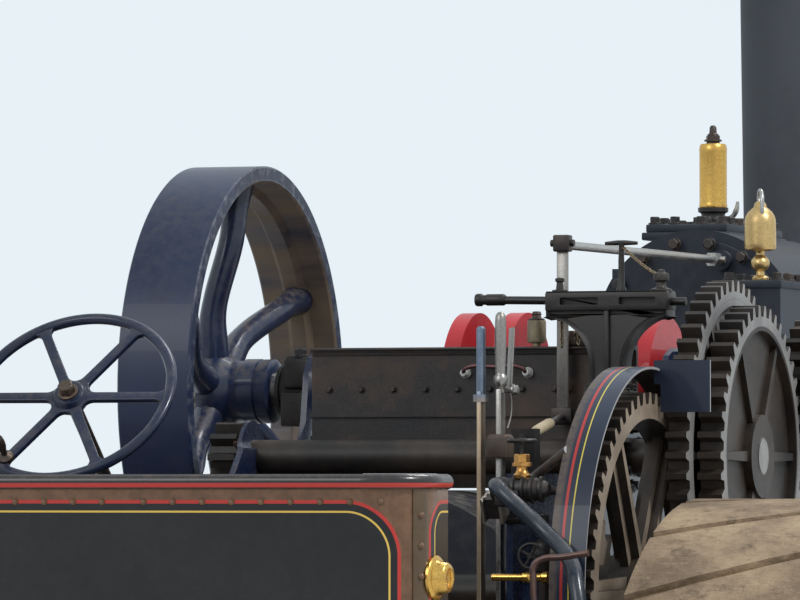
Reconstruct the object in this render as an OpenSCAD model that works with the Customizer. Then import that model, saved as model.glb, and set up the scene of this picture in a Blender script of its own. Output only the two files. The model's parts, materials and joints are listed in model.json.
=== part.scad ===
// Steam traction engine. X runs forward, Y to the left, Z up, in millimetres.
// Stations along X are measured from the rear axle, and the whole is then moved
// so that the origin lies on the ground under the middle of its length.

/* [Running gear] */
// Distance from the rear axle to the front axle
wheelbase = 4050; // [3900:10:4200]
// Radius of a rear wheel over its strakes
rear_wheel_r = 990; // [960:5:1010]
// Width of a rear tyre
rear_tyre_w = 480; // [400:10:520]
// From the middle of the engine to the inner face of a rear tyre
rear_wheel_in = 870; // [865:5:900]
// Radius of a front wheel
front_wheel_r = 650; // [600:10:670]
// Width of a front tyre
front_tyre_w = 280; // [240:10:300]
// From the steering pivot to the inner face of a front tyre
front_wheel_in = 570; // [560:5:600]
// Radius of the rear axle
axle_r = 68; // [55:1:72]
// Clearance round a turning shaft
run_gap = 0.1; // [0.05:0.01:0.2]

/* [Boiler] */
// Height of the boiler's axis
boiler_z = 1560; // [1540:5:1570]
// Radius of the lagged barrel
barrel_r = 430; // [400:5:440]
// Front end of the firebox and back end of the barrel
barrel_x = 1000; // [960:10:1040]
// Length of the barrel
barrel_len = 2560; // [2400:10:2700]
// Length of the smokebox
smokebox_len = 860; // [780:10:900]
// Back face of the firebox
firebox_x = 190; // [180:5:220]
// Radius of the chimney
chimney_r = 168; // [160:2:190]
// Height of the chimney's top
chimney_top = 3880; // [3600:10:4000]

/* [Side plates] */
// From the middle to the outer face of a side plate
horn_out = 500; // [490:1:504]
// Thickness of a side plate
horn_t = 16; // [12:1:20]
// Top edge of the side plates
horn_top = 2370; // [2350:5:2390]

/* [Shafts] */
// Crankshaft, along and up
crank_x = 1166; // [1160:1:1172]
// Height of the crankshaft
crank_z = 2265; // [2255:1:2275]
// Radius of the crankshaft
crank_shaft_r = 50; // [44:1:54]
// Throw of the crank
throw = 130; // [115:1:135]
// Second shaft, along
second_x = 594; // [590:1:598]
// Height of the second shaft
second_z = 2085; // [2081:1:2089]
// Module of the motion gears
gear_m = 16; // [15.8:0.1:16]
// Teeth of the large gear, small gear, guarded gear and small pinion
teeth_slow = 54; // [52:1:54]
// Teeth of the outer gear on the second shaft
teeth_fast = 46; // [44:1:46]
// Teeth of the guarded gear on the third shaft
teeth_third = 60; // [60]
// Teeth of the pinion that drives the guarded gear
teeth_second_pinion = 18; // [18]
// Teeth of the crankshaft's pinion for the large gear, slid out of mesh
teeth_slow_pinion = 21; // [19:1:21]
// Teeth of the crankshaft's pinion for the outer gear, slid out of mesh
teeth_fast_pinion = 29; // [27:1:29]
// Module of the final gears
final_m = 20; // [19.8:0.1:20]
// Teeth of the final gear on the rear axle
teeth_final = 58; // [58]
// Teeth of the final pinion on the third shaft
teeth_final_pinion = 18; // [18]

/* [Flywheel] */
// Radius of the flywheel
fly_r = 605; // [590:5:615]
// Width of its rim
fly_w = 200; // [180:5:210]
// From the middle to the flywheel's inner face
fly_in = 675; // [670:5:690]

/* [Tender] */
// Back plate of the tender
tender_back = -1620; // [-1680:10:-1580]
// Front edge of the tender's side plates
tender_front = -690; // [-700:5:-680]
// Width of the tender
tender_w = 1400; // [1340:10:1420]
// Top edge of the tender
tender_top = 2036; // [2010:2:2050]
// Height of the footplate
foot_z = 1160; // [1150:5:1180]
// Thickness of the tender's plates
plate_t = 10; // [8:1:14]
// Radius of the tender's back corners
corner_r = 130; // [100:5:160]
// Radius of the bead along its top edge
bead_r = 18; // [14:1:20]

/* [Steering] */
// Radius of the steering wheel
hand_wheel_r = 270; // [250:5:280]
// From the middle to the steering column
column_y = 577; // [570:1:585]
// Slope of the column below level
column_tilt = 40; // [38:0.5:41]
// Pull radius of the steering chains on the front axle
chain_y = 250; // [240:5:255]
// Height of the chain drum
drum_z = 690; // [685:1:695]

/* [Hidden] */

$fn = 72;
drawbar_x = tender_back - 150;
nose_x = wheelbase + front_wheel_r;
mid_x = (drawbar_x + nose_x) / 2;
smoke_x = barrel_x + barrel_len;
smoke_r = barrel_r + 22;
chimney_x = smoke_x + smokebox_len * 0.6;
horn_in = horn_out - horn_t;
seat = 0.3;
clear = 5;

// A gear's pitch and tip radii from its module and teeth
function pitch_r(m, teeth) = m * teeth / 2;
function tip_r(m, teeth) = pitch_r(m, teeth) + 0.8 * m;

// Stations across the engine of what lies outside the right side plate
final_y = [-582, -526];
guarded_y = [-724, -646];
slow_y = [-792, -738];
fast_y = [-862, -801];
fast_pinion_y = [-932, -870];
slow_pinion_y = [-856, -800];
guard_y = [-729, -640];

// Centre of the third shaft: in mesh with the second shaft and the rear axle
mesh_a = pitch_r(gear_m, teeth_third) + pitch_r(gear_m, teeth_second_pinion);
mesh_b = pitch_r(final_m, teeth_final) + pitch_r(final_m, teeth_final_pinion);
axle_z = rear_wheel_r;
span = norm([second_x, second_z - axle_z]);
along = (mesh_b * mesh_b - mesh_a * mesh_a + span * span) / (2 * span);
aside = sqrt(mesh_b * mesh_b - along * along);
third_x = along * second_x / span - aside * (second_z - axle_z) / span;
third_z = axle_z + along * (second_z - axle_z) / span + aside * second_x / span;

module place() {
    translate([-mid_x, 0, 0]) children();
}

// A disc or tube across the engine, from y0 to y1 at station x and height z
module across(x, z, y0, y1, r, bore = 0) {
    translate([x, y1, z]) rotate([90, 0, 0]) difference() {
        cylinder(r = r, h = y1 - y0);
        if (bore > 0) translate([0, 0, -1]) cylinder(r = bore, h = y1 - y0 + 2);
    }
}

// An outline in the XZ plane, thick from y0 to y1
module side_slab(y0, y1) {
    translate([0, y1, 0]) rotate([90, 0, 0]) linear_extrude(y1 - y0) children();
}

// A round bar between two points
module bar(a, b, r) {
    v = b - a;
    length = norm(v);
    translate(a) rotate([0, acos(v.z / length), atan2(v.y, v.x)]) cylinder(r = r, h = length);
}

// The toothed outline of a gear, with a tooth centred on angle phase
module toothed(m, teeth, phase) {
    p = 360 / teeth;
    root = pitch_r(m, teeth) - 0.95 * m;
    tip = tip_r(m, teeth);
    polygon([for (i = [0:teeth - 1], c = [[root, -0.29], [tip, -0.13], [tip, 0.13], [root, 0.29]])
        let (a = phase + (i + c[1]) * p) c[0] * [cos(a), sin(a)]]);
}

// A gear across the engine: toothed rim, spokes with a rib along each, a hub, and a web if wanted
module gear(x, z, y, m, teeth, phase, hub_r, spokes = 0, web = false) {
    rim_in = pitch_r(m, teeth) - 3.2 * m;
    mid = (y[0] + y[1]) / 2;
    translate([x, 0, z]) {
        side_slab(y[0], y[1]) difference() {
            toothed(m, teeth, phase);
            if (spokes > 0) circle(rim_in);
        }
        if (spokes > 0) {
            if (web) side_slab(mid - 9, mid + 9) circle(rim_in + 5);
            else side_slab(mid - 11, mid + 11) for (i = [0:spokes - 1]) rotate(i * 360 / spokes)
                polygon([[0, -46], [rim_in + 5, -32], [rim_in + 5, 32], [0, 46]]);
            side_slab(y[0] + 7, y[1] - 7) for (i = [0:spokes - 1]) rotate(i * 360 / spokes)
                polygon([[0, -15], [rim_in + 6, -9], [rim_in + 6, 9], [0, 15]]);
            side_slab(y[0] - 1, y[1] + 1) circle(hub_r);
        }
    }
}

// The angle in the XZ plane from one shaft to another
function bearing_of(ax, az, bx, bz) = atan2(bz - az, bx - ax);
phase_pinion = bearing_of(second_x, second_z, third_x, third_z);
phase_guarded = phase_pinion + 180 + 180 / teeth_third;
phase_final_pinion = bearing_of(third_x, third_z, 0, axle_z);
phase_final = phase_final_pinion + 180 + 180 / teeth_final;

firebox_r = 440;

module boiler() {
    place() color("black")
        translate([barrel_x, 0, boiler_z]) rotate([0, 90, 0]) cylinder(r = barrel_r, h = barrel_len);
}

module smokebox() {
    place() color("black") {
        translate([smoke_x, 0, boiler_z]) rotate([0, 90, 0]) difference() {
            cylinder(r = smoke_r, h = smokebox_len);
            translate([0, 0, 14]) cylinder(r = smoke_r - 14, h = smokebox_len - 34);
            translate([0, 0, 14]) cylinder(r = smokebox_hole, h = smokebox_len);
        }
        for (dz = [-door_strap, door_strap], s = [-1, 1])
            translate([door_x - 1, door_hinge_y - 16, boiler_z + dz + s * (46 + seat) - 16])
                cube([clear + 28, 32, 32]);
    }
}

door_x = smoke_x + smokebox_len;
door_hinge_y = 385;
door_strap = 170;
smokebox_hole = 310;
module smokebox_door() {
    place() color("black") {
        translate([door_x + clear, 0, boiler_z]) rotate([0, 90, 0]) {
            cylinder(r = 345, h = 14);
            translate([0, 0, 13]) cylinder(r1 = 300, r2 = 180, h = 34);
            translate([0, 0, 46]) cylinder(r = 24, h = 50);
        }
        for (dz = [-door_strap, door_strap]) {
            translate([door_x + clear, 0, boiler_z + dz - 22]) cube([22, door_hinge_y, 44]);
            translate([door_x + clear + 11, door_hinge_y, boiler_z + dz - 30])
                cylinder(r = 15.7, h = 60);
        }
    }
}

module firebox() {
    place() color("black") difference() {
        union() {
            translate([firebox_x, 0, 0]) rotate([90, 0, 90]) linear_extrude(barrel_x - firebox_x) union() {
                translate([-horn_in, 660]) square([2 * horn_in, boiler_z - 760]);
                translate([-firebox_r, 1000]) square([2 * firebox_r, boiler_z - 1000]);
                translate([0, boiler_z]) circle(firebox_r);
            }
            translate([firebox_x + 60, -380, 560]) cube([450, 760, 101]);
        }
        translate([firebox_x - 1, 0, fire_z]) rotate([0, 90, 0]) cylinder(r = 150, h = 351);
    }
}

fire_z = 1480;
fire_hinge_y = 190;
module firehole_door() {
    place() color("dimgray") {
        translate([firebox_x - clear - 16, 0, fire_z]) rotate([0, 90, 0]) cylinder(r = 168, h = 16);
        translate([firebox_x - clear - 16, 0, fire_z - 20]) cube([16, fire_hinge_y, 40]);
        translate([firebox_x - clear - 8, fire_hinge_y, fire_z - 30]) cylinder(r = 12.7, h = 60);
    }
}

// Outline of a side plate, from the tender to the front of the crankshaft bearings
module plate_outline(rear_top) {
    difference() {
        polygon([[tender_front, 790], [1000, 790], [1060, drum_z - 90], [1240, drum_z - 90],
            [1300, 790], [1500, 1150], [1500, horn_top], [1040, horn_top], [985, 2350], [955, 2310],
            [930, 2180], [890, 2100], [840, rear_top], [second_x + 100, rear_top],
            [second_x + 75, bracket_foot], [second_x - 75, bracket_foot], [second_x - 140, 2100],
            [second_x - 200, 2040], [-330, 2040], [-330, 1690], [-440, 1640],
            [-440, 1250], [tender_front, 1250]]);
        translate([0, axle_z]) circle(axle_r + run_gap);
        translate([second_x, second_z]) circle(45 + run_gap);
        translate([third_x, third_z]) circle(45 + run_gap);
        translate([crank_x, crank_z]) circle(crank_shaft_r + run_gap);
        translate([1150, drum_z]) circle(30 + run_gap);
    }
}

module bearings(side) {
    a = side > 0 ? horn_out : -horn_out - 18;
    across(0, axle_z, a, a + 18, 140, axle_r + run_gap);
    across(third_x, third_z, a, a + 18, 90, 45 + run_gap);
    across(second_x, second_z, a, a + 18, 95, 45 + run_gap);
    deep = side > 0 ? fly_in - 30 - horn_out : 60;
    c = side > 0 ? horn_out : -horn_out - deep;
    across(crank_x, crank_z, c, c + deep, 90, crank_shaft_r + run_gap);
    difference() {
        translate([crank_x - 105, side > 0 ? horn_in : -horn_out - deep, crank_z - 100])
            cube([210, deep + horn_t, 197]);
        across(crank_x, crank_z, c - horn_t - 5, c + deep + horn_t + 5, 89);
    }
}

module side_plate_left() {
    place() color("darkslategray") {
        side_slab(horn_in, horn_out) plate_outline(2072);
        bearings(1);
    }
}

module side_plate_right() {
    place() color("darkslategray") {
        side_slab(-horn_out, -horn_in) plate_outline(2150);
        bearings(-1);
    }
}

module cross_plate() {
    place() color("black") {
        translate([745, 0, 0]) rotate([90, 0, 90]) linear_extrude(14)
            polygon([[-horn_in, 2005], [horn_in, 2005], [horn_in, 2068], [400, 2068], [400, horn_top],
                [-horn_in, horn_top]]);
        for (z = [2130, 2190, 2358]) translate([733, -horn_in, z]) cube([13, 400 + horn_in, 12]);
    }
}

module tender_plan(inset) {
    hw = tender_w / 2 - inset;
    r = corner_r - inset;
    back = tender_back + inset;
    for (s = [-1, 1]) translate([back + r, s * (hw - r)]) circle(r);
    translate([back + r, -hw]) square([tender_front - back - r, 2 * hw]);
    translate([back, -hw + r]) square([2 * r, 2 * (hw - r)]);
}

// The round bead along the tender's top edge
module tender_bead() {
    line = tender_w / 2 - plate_t / 2;
    turn = corner_r - plate_t / 2;
    corner_x = tender_back + corner_r;
    z = tender_top - bead_r;
    for (s = [-1, 1]) {
        bar([corner_x, s * line, z], [tender_front, s * line, z], bead_r);
        translate([corner_x, s * (tender_w / 2 - corner_r), z]) rotate([0, 0, s > 0 ? 90 : 180])
            rotate_extrude(angle = 90) translate([turn, 0]) circle(r = bead_r + 1);
    }
    bar([tender_back + plate_t / 2, corner_r - tender_w / 2, z],
        [tender_back + plate_t / 2, tender_w / 2 - corner_r, z], bead_r);
}

module tender() {
    place() color("black") difference() {
        union() {
            translate([0, 0, 760]) linear_extrude(tender_top - 760) difference() {
                tender_plan(0);
                tender_plan(plate_t);
                translate([tender_front - 50, -tender_w]) square([100, 2 * tender_w]);
            }
            tender_bead();
        }
        translate([-1415, -tender_w, 1360]) cube([900, tender_w, 900]);
    }
}

module water_tank() {
    place() color("black") {
        translate([0, 0, 740]) linear_extrude(foot_z - 750) tender_plan(plate_t);
        translate([tender_front, -horn_in, foot_z - 10])
            cube([firebox_x - tender_front, 2 * horn_in, 10]);
        translate([0, 0, foot_z - 11]) linear_extrude(11) tender_plan(plate_t);
    }
}

drawbar_pin_r = 22;
module drawbar() {
    place() color("dimgray") difference() {
        union() {
            translate([drawbar_x, -90, 860]) cube([150, 180, 26]);
            translate([drawbar_x, -90, 950]) cube([150, 180, 26]);
            translate([tender_back - 24, -150, 820]) cube([24, 300, 190]);
        }
        translate([drawbar_x + 60, 0, 800]) cylinder(r = drawbar_pin_r, h = 300);
    }
}

module chimney() {
    base = boiler_z + 380;
    place() color("dimgray") difference() {
        translate([chimney_x, 0, 0]) {
            translate([0, 0, base]) cylinder(r = chimney_r + 60, h = 130);
            translate([0, 0, base]) cylinder(r1 = chimney_r - 5, r2 = chimney_r + 20,
                h = chimney_top - base - 60);
            translate([0, 0, chimney_top - 100]) cylinder(r = chimney_r + 48, h = 100);
        }
        translate([chimney_x, 0, base - 1]) cylinder(r = chimney_r - 20, h = chimney_top);
        translate([smoke_x - 10, 0, boiler_z]) rotate([0, 90, 0])
            cylinder(r = smoke_r + seat, h = smokebox_len + 20, $fn = 180);
    }
}

crank_y = 30;
rod_len = 900;
pin_x = crank_x + throw;
small_x = pin_x + rod_len;
block_x = 2500;
block_len = 820;
block_r = 300;
block_cz = 2440;
block_y = -130;
chest_top = 2580;
chest_x = 2200;
gland_x = block_x - 55;
gland_y = -217;
gland_z = 2650;

module cylinder_block() {
    place() color("slategray") {
        difference() {
            union() {
                translate([block_x, block_y, 0]) rotate([90, 0, 90]) linear_extrude(block_len) union() {
                    translate([-block_r, 1800]) square([2 * block_r, block_cz - 1800]);
                    translate([0, block_cz]) circle(block_r);
                }
                translate([block_x + 130, -170, block_cz]) cube([block_len - 260, 210, block_r + 20]);
                translate([block_x - 25, block_y, 0]) rotate([90, 0, 90]) linear_extrude(40) union() {
                    translate([-block_r + 30, 2100]) square([2 * block_r - 60, block_cz - 2100]);
                    translate([0, block_cz]) circle(block_r - 30);
                }
                translate([chest_x, block_y - block_r - 30, 2150])
                    cube([block_x + block_len - 40 - chest_x, 170, chest_top - 2150]);
                translate([block_x - 20, crank_y + 5, 2520]) cube([90, 80, 110]);
            }
            translate([barrel_x, 0, boiler_z]) rotate([0, 90, 0])
                cylinder(r = barrel_r + seat, h = barrel_len, $fn = 180);
        }
        translate([block_x - 60, crank_y, crank_z]) rotate([0, 90, 0]) cylinder(r = 165, h = 61);
        translate([gland_x, gland_y, gland_z]) rotate([0, 90, 0]) cylinder(r = 28, h = 40);
    }
}

bar_in = 30;
bar_out = 60;
module slide_bars() {
    place() color("silver") {
        for (s = [-1, 1]) {
            y = crank_y + (s > 0 ? bar_in : -bar_out);
            for (z = [crank_z - 88, crank_z + 60])
                translate([1880, y, z]) cube([block_x - 60 - 1880, bar_out - bar_in, 28]);
            difference() {
                translate([1860, s > 0 ? y : y - 18, boiler_z]) cube([26, 48, crank_z + 100 - boiler_z]);
                translate([1850, 0, boiler_z]) rotate([0, 90, 0])
                    cylinder(r = barrel_r + seat, h = 60, $fn = 180);
            }
            translate([small_x - 55, y, crank_z - 60]) cube([126, bar_out - bar_in, 120]);
        }
        translate([small_x + 66, crank_y - bar_out, crank_z - 50]) cube([40, 2 * bar_out, 100]);
        translate([small_x + 90, crank_y, crank_z]) rotate([0, 90, 0])
            cylinder(r = 24, h = block_x - 60 - small_x - 90);
    }
}

valve_x = 2960;
module safety_valve() {
    place() color("gold") translate([valve_x, -45, block_cz + block_r + 20]) {
        cylinder(r = 62, h = 20);
        cylinder(r = 48, h = 60);
        translate([0, 0, 52]) cylinder(r = 41, h = 200);
        translate([0, 0, 251]) cylinder(r = 21, h = 34);
        translate([0, 0, 284]) cylinder(r = 13, h = 20);
    }
}

module lubricator() {
    place() color("gold") translate([chest_x + 100, block_y - block_r + 56, chest_top]) {
        cylinder(r = 30, h = 50);
        translate([0, 0, 50]) sphere(r = 42);
        translate([0, 0, 82]) cylinder(r = 48, h = 108);
        translate([0, 0, 189]) cylinder(r1 = 48, r2 = 20, h = 36);
        translate([0, 0, 224]) cylinder(r = 12, h = 38);
    }
}

bracket_x = 600;
bracket_y = -459;
bracket_foot = 2230;
table_top = 2506;
module gear_bracket() {
    place() color("dimgray") {
        difference() {
            translate([bracket_x - 40, bracket_y, 0]) rotate([90, 0, 90]) linear_extrude(80) difference() {
                polygon([[-44, bracket_foot], [44, bracket_foot], [44, 2330], [160, 2440], [160, table_top],
                    [-160, table_top], [-160, 2440], [-44, 2330]]);
                for (s = [-1, 1]) translate([s * 168, 2316]) circle(124);
            }
            shift_bar();
        }
        translate([bracket_x - 48, bracket_y - 60, bracket_foot]) cube([96, 120, 24]);
        for (s = [-1, 1]) translate([bracket_x + 30, bracket_y + s * 140, table_top - 1]) {
            cylinder(r = 9, h = 22);
            translate([0, 0, 34]) sphere(r = 19);
        }
        translate([bracket_x + 30, bracket_y - 20, table_top - 1]) cylinder(r = 9, h = 130);
        translate([bracket_x + 30, bracket_y + 25, table_top + 124]) rotate([90, 0, 0])
            cylinder(r = 7, h = 90);
    }
}

guard_r = 550;
guard_t = 6;
stay_x = -285;
stay_z = 2008;
module gear_guard() {
    place() color("midnightblue") {
        translate([third_x, guard_y[1], third_z]) rotate([90, 0, 0])
            rotate([0, 0, 47]) rotate_extrude(angle = 166) translate([guard_r, 0])
                square([guard_t, guard_y[1] - guard_y[0]]);
        reach = guard_r + guard_t / 2;
        across(third_x + reach * cos(205), third_z + reach * sin(205), guard_y[1] - 8, -horn_out, 14);
        bar([third_x + reach * cos(141), guard_y[1] - 8, third_z + reach * sin(141)],
            [stay_x, -horn_out - 7, stay_z], 12);
        translate([stay_x - 25, -horn_out - 12, stay_z - 25]) cube([50, 12, 50]);
        plate_x = second_x - tip_r(gear_m, teeth_slow) - 14;
        translate([plate_x, fast_y[0] + 4, third_z + guard_r - 105])
            cube([6, guard_y[0] - fast_y[0] - 6, 128]);
        translate([plate_x, guard_y[0] - 3, third_z + guard_r - 36]) cube([6, 18, 59]);
    }
}

rod_x = 700;
shift_z = 2478;
rod_y = -300;
module shift_bar() {
    bar([bracket_x, -98, shift_z + 9], [bracket_x, -660, shift_z], 11);
}

module regulator_rods() {
    place() color("silver") {
        translate([rod_x - 5, rod_y - 16, 2176]) cube([10, 32, 470]);
        translate([rod_x, rod_y, 2262]) rotate([0, 90, 0]) cylinder(r = 12, h = 45);
        bar([rod_x, rod_y, 2628], [gland_x - 1.6, gland_y, gland_z], 13);
        bar([rod_x - 4, rod_y, 2190], [-62.8, -440, 2125], 12);
        shift_bar();
        bar([bracket_x, -98, shift_z + 9], [bracket_x, -178, shift_z + 8], 17);
    }
}

lever_x = -220;
lever_z = 1560;
lever_y = -440;
gear_lever_y = -390;
lever_pin_r = 14;
module lever_stand() {
    place() color("dimgray") {
        translate([lever_x, -446, lever_z]) rotate([90, 0, 0]) rotate([0, 0, 68])
            rotate_extrude(angle = 44) translate([400, 0]) square([50, 38]);
        across(lever_x, lever_z, -horn_in, -446, 34);
        across(lever_x, lever_z, -447, -350, lever_pin_r);
        translate([-110, -horn_in, 2000]) cube([44, 60, 150]);
    }
}

module lever(y, tall) {
    place() color("silver") {
        across(lever_x, lever_z, y, y + 14, 32, lever_pin_r + run_gap);
        translate([lever_x - 20, y, lever_z + 28]) cube([40, 14, tall - 170 - 28]);
        translate([lever_x, y + 7, lever_z + tall - 172]) cylinder(r = 21, h = 165);
        translate([lever_x, y + 7, lever_z + tall - 8]) sphere(r = 21);
    }
}

module reversing_lever() {
    lever(lever_y, 860);
}

module gear_lever() {
    lever(gear_lever_y, 830);
}

pipe_y = -tender_w / 2 - 62;
pipe_route = [[-380, -480, 2060], [-470, -540, 2015], [-510, -650, 1920], [-570, pipe_y, 1730],
    [-590, pipe_y - 6, 1400], [-640, pipe_y - 3, 1150],
    [-725, pipe_y, 1090], [-725, -tender_w / 2, 1090]];
pipe_r = 25;
module water_pipes() {
    place() color("slategray") {
        for (i = [0:len(pipe_route) - 2]) bar(pipe_route[i], pipe_route[i + 1], pipe_r);
        for (i = [1:len(pipe_route) - 2]) translate(pipe_route[i]) sphere(r = pipe_r + 3);
        translate([-430, -548, 2040]) cube([90, 64, 44]);
        translate([-375, -515, 2083]) cylinder(r = 16, h = 60);
        translate([-375, -515, 2140]) cylinder(r = 46, h = 10);
    }
}

pivot_r = 42;
beam_top = 705;
beam_z = 590;
beam_half = 540;
module perch_bracket() {
    top = boiler_z - smoke_r;
    perch_x = max(wheelbase - 160, smoke_x + clear);
    place() color("black") difference() {
        union() {
            translate([perch_x, -150, beam_top + 40]) cube([320, 300, top - beam_top + 60]);
            translate([wheelbase, 0, beam_top + seat]) cylinder(r = 110, h = 60);
            translate([wheelbase, 0, beam_z - 40]) cylinder(r = pivot_r, h = 200);
        }
        translate([smoke_x - 10, 0, boiler_z]) rotate([0, 90, 0])
            cylinder(r = smoke_r + seat, h = smokebox_len + 20, $fn = 180);
    }
}

eye_x = wheelbase - 110;
chain_z = drum_z - 60 - clear - 15;
stub_r = 42;
stub_out = front_wheel_in + front_tyre_w + 50;
module front_axle() {
    place() color("dimgray") difference() {
        union() {
            translate([wheelbase - 55, -beam_half, beam_z]) cube([110, 2 * beam_half, beam_top - beam_z]);
            translate([wheelbase, 0, beam_z]) cylinder(r = 110, h = beam_top - beam_z);
            for (s = [-1, 1]) {
                across(wheelbase, front_wheel_r, s > 0 ? beam_half - 20 : -stub_out,
                    s > 0 ? stub_out : -beam_half + 20, stub_r);
                for (z = [chain_z - 34, chain_z + 14]) translate([eye_x - 26, s * chain_y - 26, z])
                    cube([120, 52, 20]);
                translate([eye_x, s * chain_y, chain_z - 34]) cylinder(r = 10, h = 68);
            }
        }
        translate([wheelbase, 0, beam_z - 50]) cylinder(r = pivot_r + run_gap, h = 300);
    }
}

// A spoked wheel: T-section rim ring, two rows of flat spokes and a hub, at x, z from y0 to y1
module wheel_centre(x, z, y0, y1, rim_r, rim_t, hub_r, hub_over, bore, count, spoke_w) {
    mid = (y0 + y1) / 2;
    across(x, z, y0 + 30, y1 - 30, rim_r, rim_r - rim_t);
    across(x, z, mid - 20, mid + 20, rim_r - rim_t / 2, rim_r - rim_t - 70);
    across(x, z, y0 - hub_over, y1 + hub_over, hub_r, bore);
    for (i = [0:count - 1], s = [-1, 1])
        translate([x, mid, z]) rotate([0, (i + s * 0.25) * 360 / count, 0])
            translate([-spoke_w / 2, s > 0 ? 17 : -35, hub_r - 8])
                cube([spoke_w, 18, rim_r - rim_t - 40 - hub_r]);
}

front_hub_r = 95;
module front_wheel(s) {
    y0 = s > 0 ? front_wheel_in : -front_wheel_in - front_tyre_w;
    place() color("firebrick") {
        wheel_centre(wheelbase, front_wheel_r, y0, y0 + front_tyre_w, front_wheel_r - 13, 16,
            front_hub_r, 16, stub_r + run_gap, 12, 42);
        across(wheelbase, front_wheel_r, y0, y0 + front_tyre_w, front_wheel_r, front_wheel_r - 14);
    }
}

module front_wheel_left() {
    front_wheel(1);
}

module front_wheel_right() {
    front_wheel(-1);
}

drum_x = 1150;
drum_r = 60;
module chain_drum() {
    place() color("dimgray") {
        across(drum_x, drum_z, -horn_out - 30, 605, 30);
        across(drum_x, drum_z, -horn_in + 6, horn_in - 6, drum_r);
        across(drum_x, drum_z, column_y - 20, column_y + 20, 80);
    }
}

module steering_chain(s) {
    place() color("dimgray") {
        translate([eye_x, s * chain_y, chain_z - 10]) difference() {
            cylinder(r = 24, h = 20);
            translate([0, 0, -1]) cylinder(r = 10 + run_gap, h = 22);
        }
        bar([eye_x - 20, s * chain_y, chain_z], [drum_x - 110, s * chain_y, chain_z], 13);
    }
}

module chain_left() {
    steering_chain(1);
}

module chain_right() {
    steering_chain(-1);
}

hand_x = -500;
hand_z = 2225;
column_r = 17;
worm_x = drum_x - 10;
column_len = (worm_x + 130 - hand_x) / cos(column_tilt);
module on_column() {
    translate([hand_x, column_y, hand_z]) rotate([0, 90 + column_tilt, 0]) children();
}

module steering_wheel() {
    place() color("midnightblue") on_column() {
        rotate_extrude() translate([hand_wheel_r - 14, 0]) circle(r = 14, $fn = 24);
        translate([0, 0, -7]) linear_extrude(14) for (i = [0:5]) rotate(i * 60 + 30)
            polygon([[20, -34], [70, -17], [150, -12], [hand_wheel_r - 50, -13], [hand_wheel_r - 16, -34],
                [hand_wheel_r - 16, 34], [hand_wheel_r - 50, 13], [150, 12], [70, 17], [20, 34]]);
        translate([0, 0, -9]) cylinder(r = 56, h = 18);
        translate([0, 0, -18]) cylinder(r = 34, h = 40);
        translate([0, 0, 20]) cylinder(r = column_r, h = column_len - 20);
        translate([0, 0, -40]) cylinder(r = 14, h = 24, $fn = 6);
        worm_at = (worm_x - hand_x) / cos(column_tilt);
        translate([0, 0, worm_at - 60]) cylinder(r = 30, h = 110);
        rotate(30) translate([hand_wheel_r - 40, 0, -82]) cylinder(r = 13, h = 80);
    }
}

module steering_brackets() {
    place() color("black") for (t = [480, 1700]) difference() {
        on_column() translate([-30, -(column_y - horn_out), t]) cube([60, column_y - horn_out + 28, 46]);
        on_column() translate([0, 0, t - 5]) cylinder(r = column_r + run_gap, h = 60);
    }
}

axle_end = rear_wheel_in + rear_tyre_w + 60;
module rear_axle() {
    place() color("dimgray") {
        across(0, axle_z, -axle_end, axle_end, axle_r);
        gear(0, axle_z, final_y, final_m, teeth_final, phase_final, 130, 6);
    }
}

strakes = 22;
strake_h = 16;
strake_twist = 13;
rim_r = rear_wheel_r - strake_h;
rim_t = 30;
tyre_sides = 88;
tyre_seat_r = (rim_r - rim_t) * cos(180 / tyre_sides);
module rear_tyre(s) {
    share = 360 / strakes;
    place() color("peru") translate([0, s * rear_wheel_in, axle_z]) rotate([-s * 90, 0, 0])
        difference() {
            linear_extrude(rear_tyre_w, twist = strake_twist, slices = 3)
                polygon([for (i = [0:strakes - 1], c = [[0.03, 1], [0.32, 1], [0.61, 1], [0.91, 1],
                        [0.93, 0], [1.01, 0]])
                    let (a = (i + c[0]) * share) (rim_r + c[1] * strake_h) * [cos(a), sin(a)]]);
            translate([0, 0, -1]) cylinder(r = rim_r - rim_t, h = rear_tyre_w + 2, $fn = tyre_sides);
        }
}

module rear_tyre_left() {
    rear_tyre(1);
}

module rear_tyre_right() {
    rear_tyre(-1);
}

rear_hub_r = 150;
module rear_wheel(s) {
    y0 = s > 0 ? rear_wheel_in : -rear_wheel_in - rear_tyre_w;
    place() color("saddlebrown")
        wheel_centre(0, axle_z, y0, y0 + rear_tyre_w, tyre_seat_r - seat, 22, rear_hub_r, 30,
            axle_r + run_gap, 14, 64);
}

module rear_wheel_left() {
    rear_wheel(1);
}

module rear_wheel_right() {
    rear_wheel(-1);
}

web_r = 205;
web_t = 45;
pin_half = 45;
disc_y = -445;
shaft_left = fly_in + fly_w + 40;
module crankshaft() {
    place() {
        color("silver") {
            across(crank_x, crank_z, fast_pinion_y[0] - 25, crank_y - pin_half, crank_shaft_r);
            across(crank_x, crank_z, crank_y + pin_half, shaft_left, crank_shaft_r);
            across(pin_x, crank_z, crank_y - pin_half, crank_y + pin_half, 42);
        }
        color("red") {
            for (y = [crank_y - pin_half - web_t, crank_y + pin_half])
                across(crank_x, crank_z, y, y + web_t, web_r);
            across(crank_x, crank_z, disc_y, disc_y + 40, 190);
        }
    }
}

rim_depth = 42;
spoke_count = 6;
spoke_from = 120;
spoke_bend = 46;
// Half thickness and half width of each layer of an oval spoke
spoke_layers = [[12, 44], [24, 36], [32, 21]];

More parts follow.
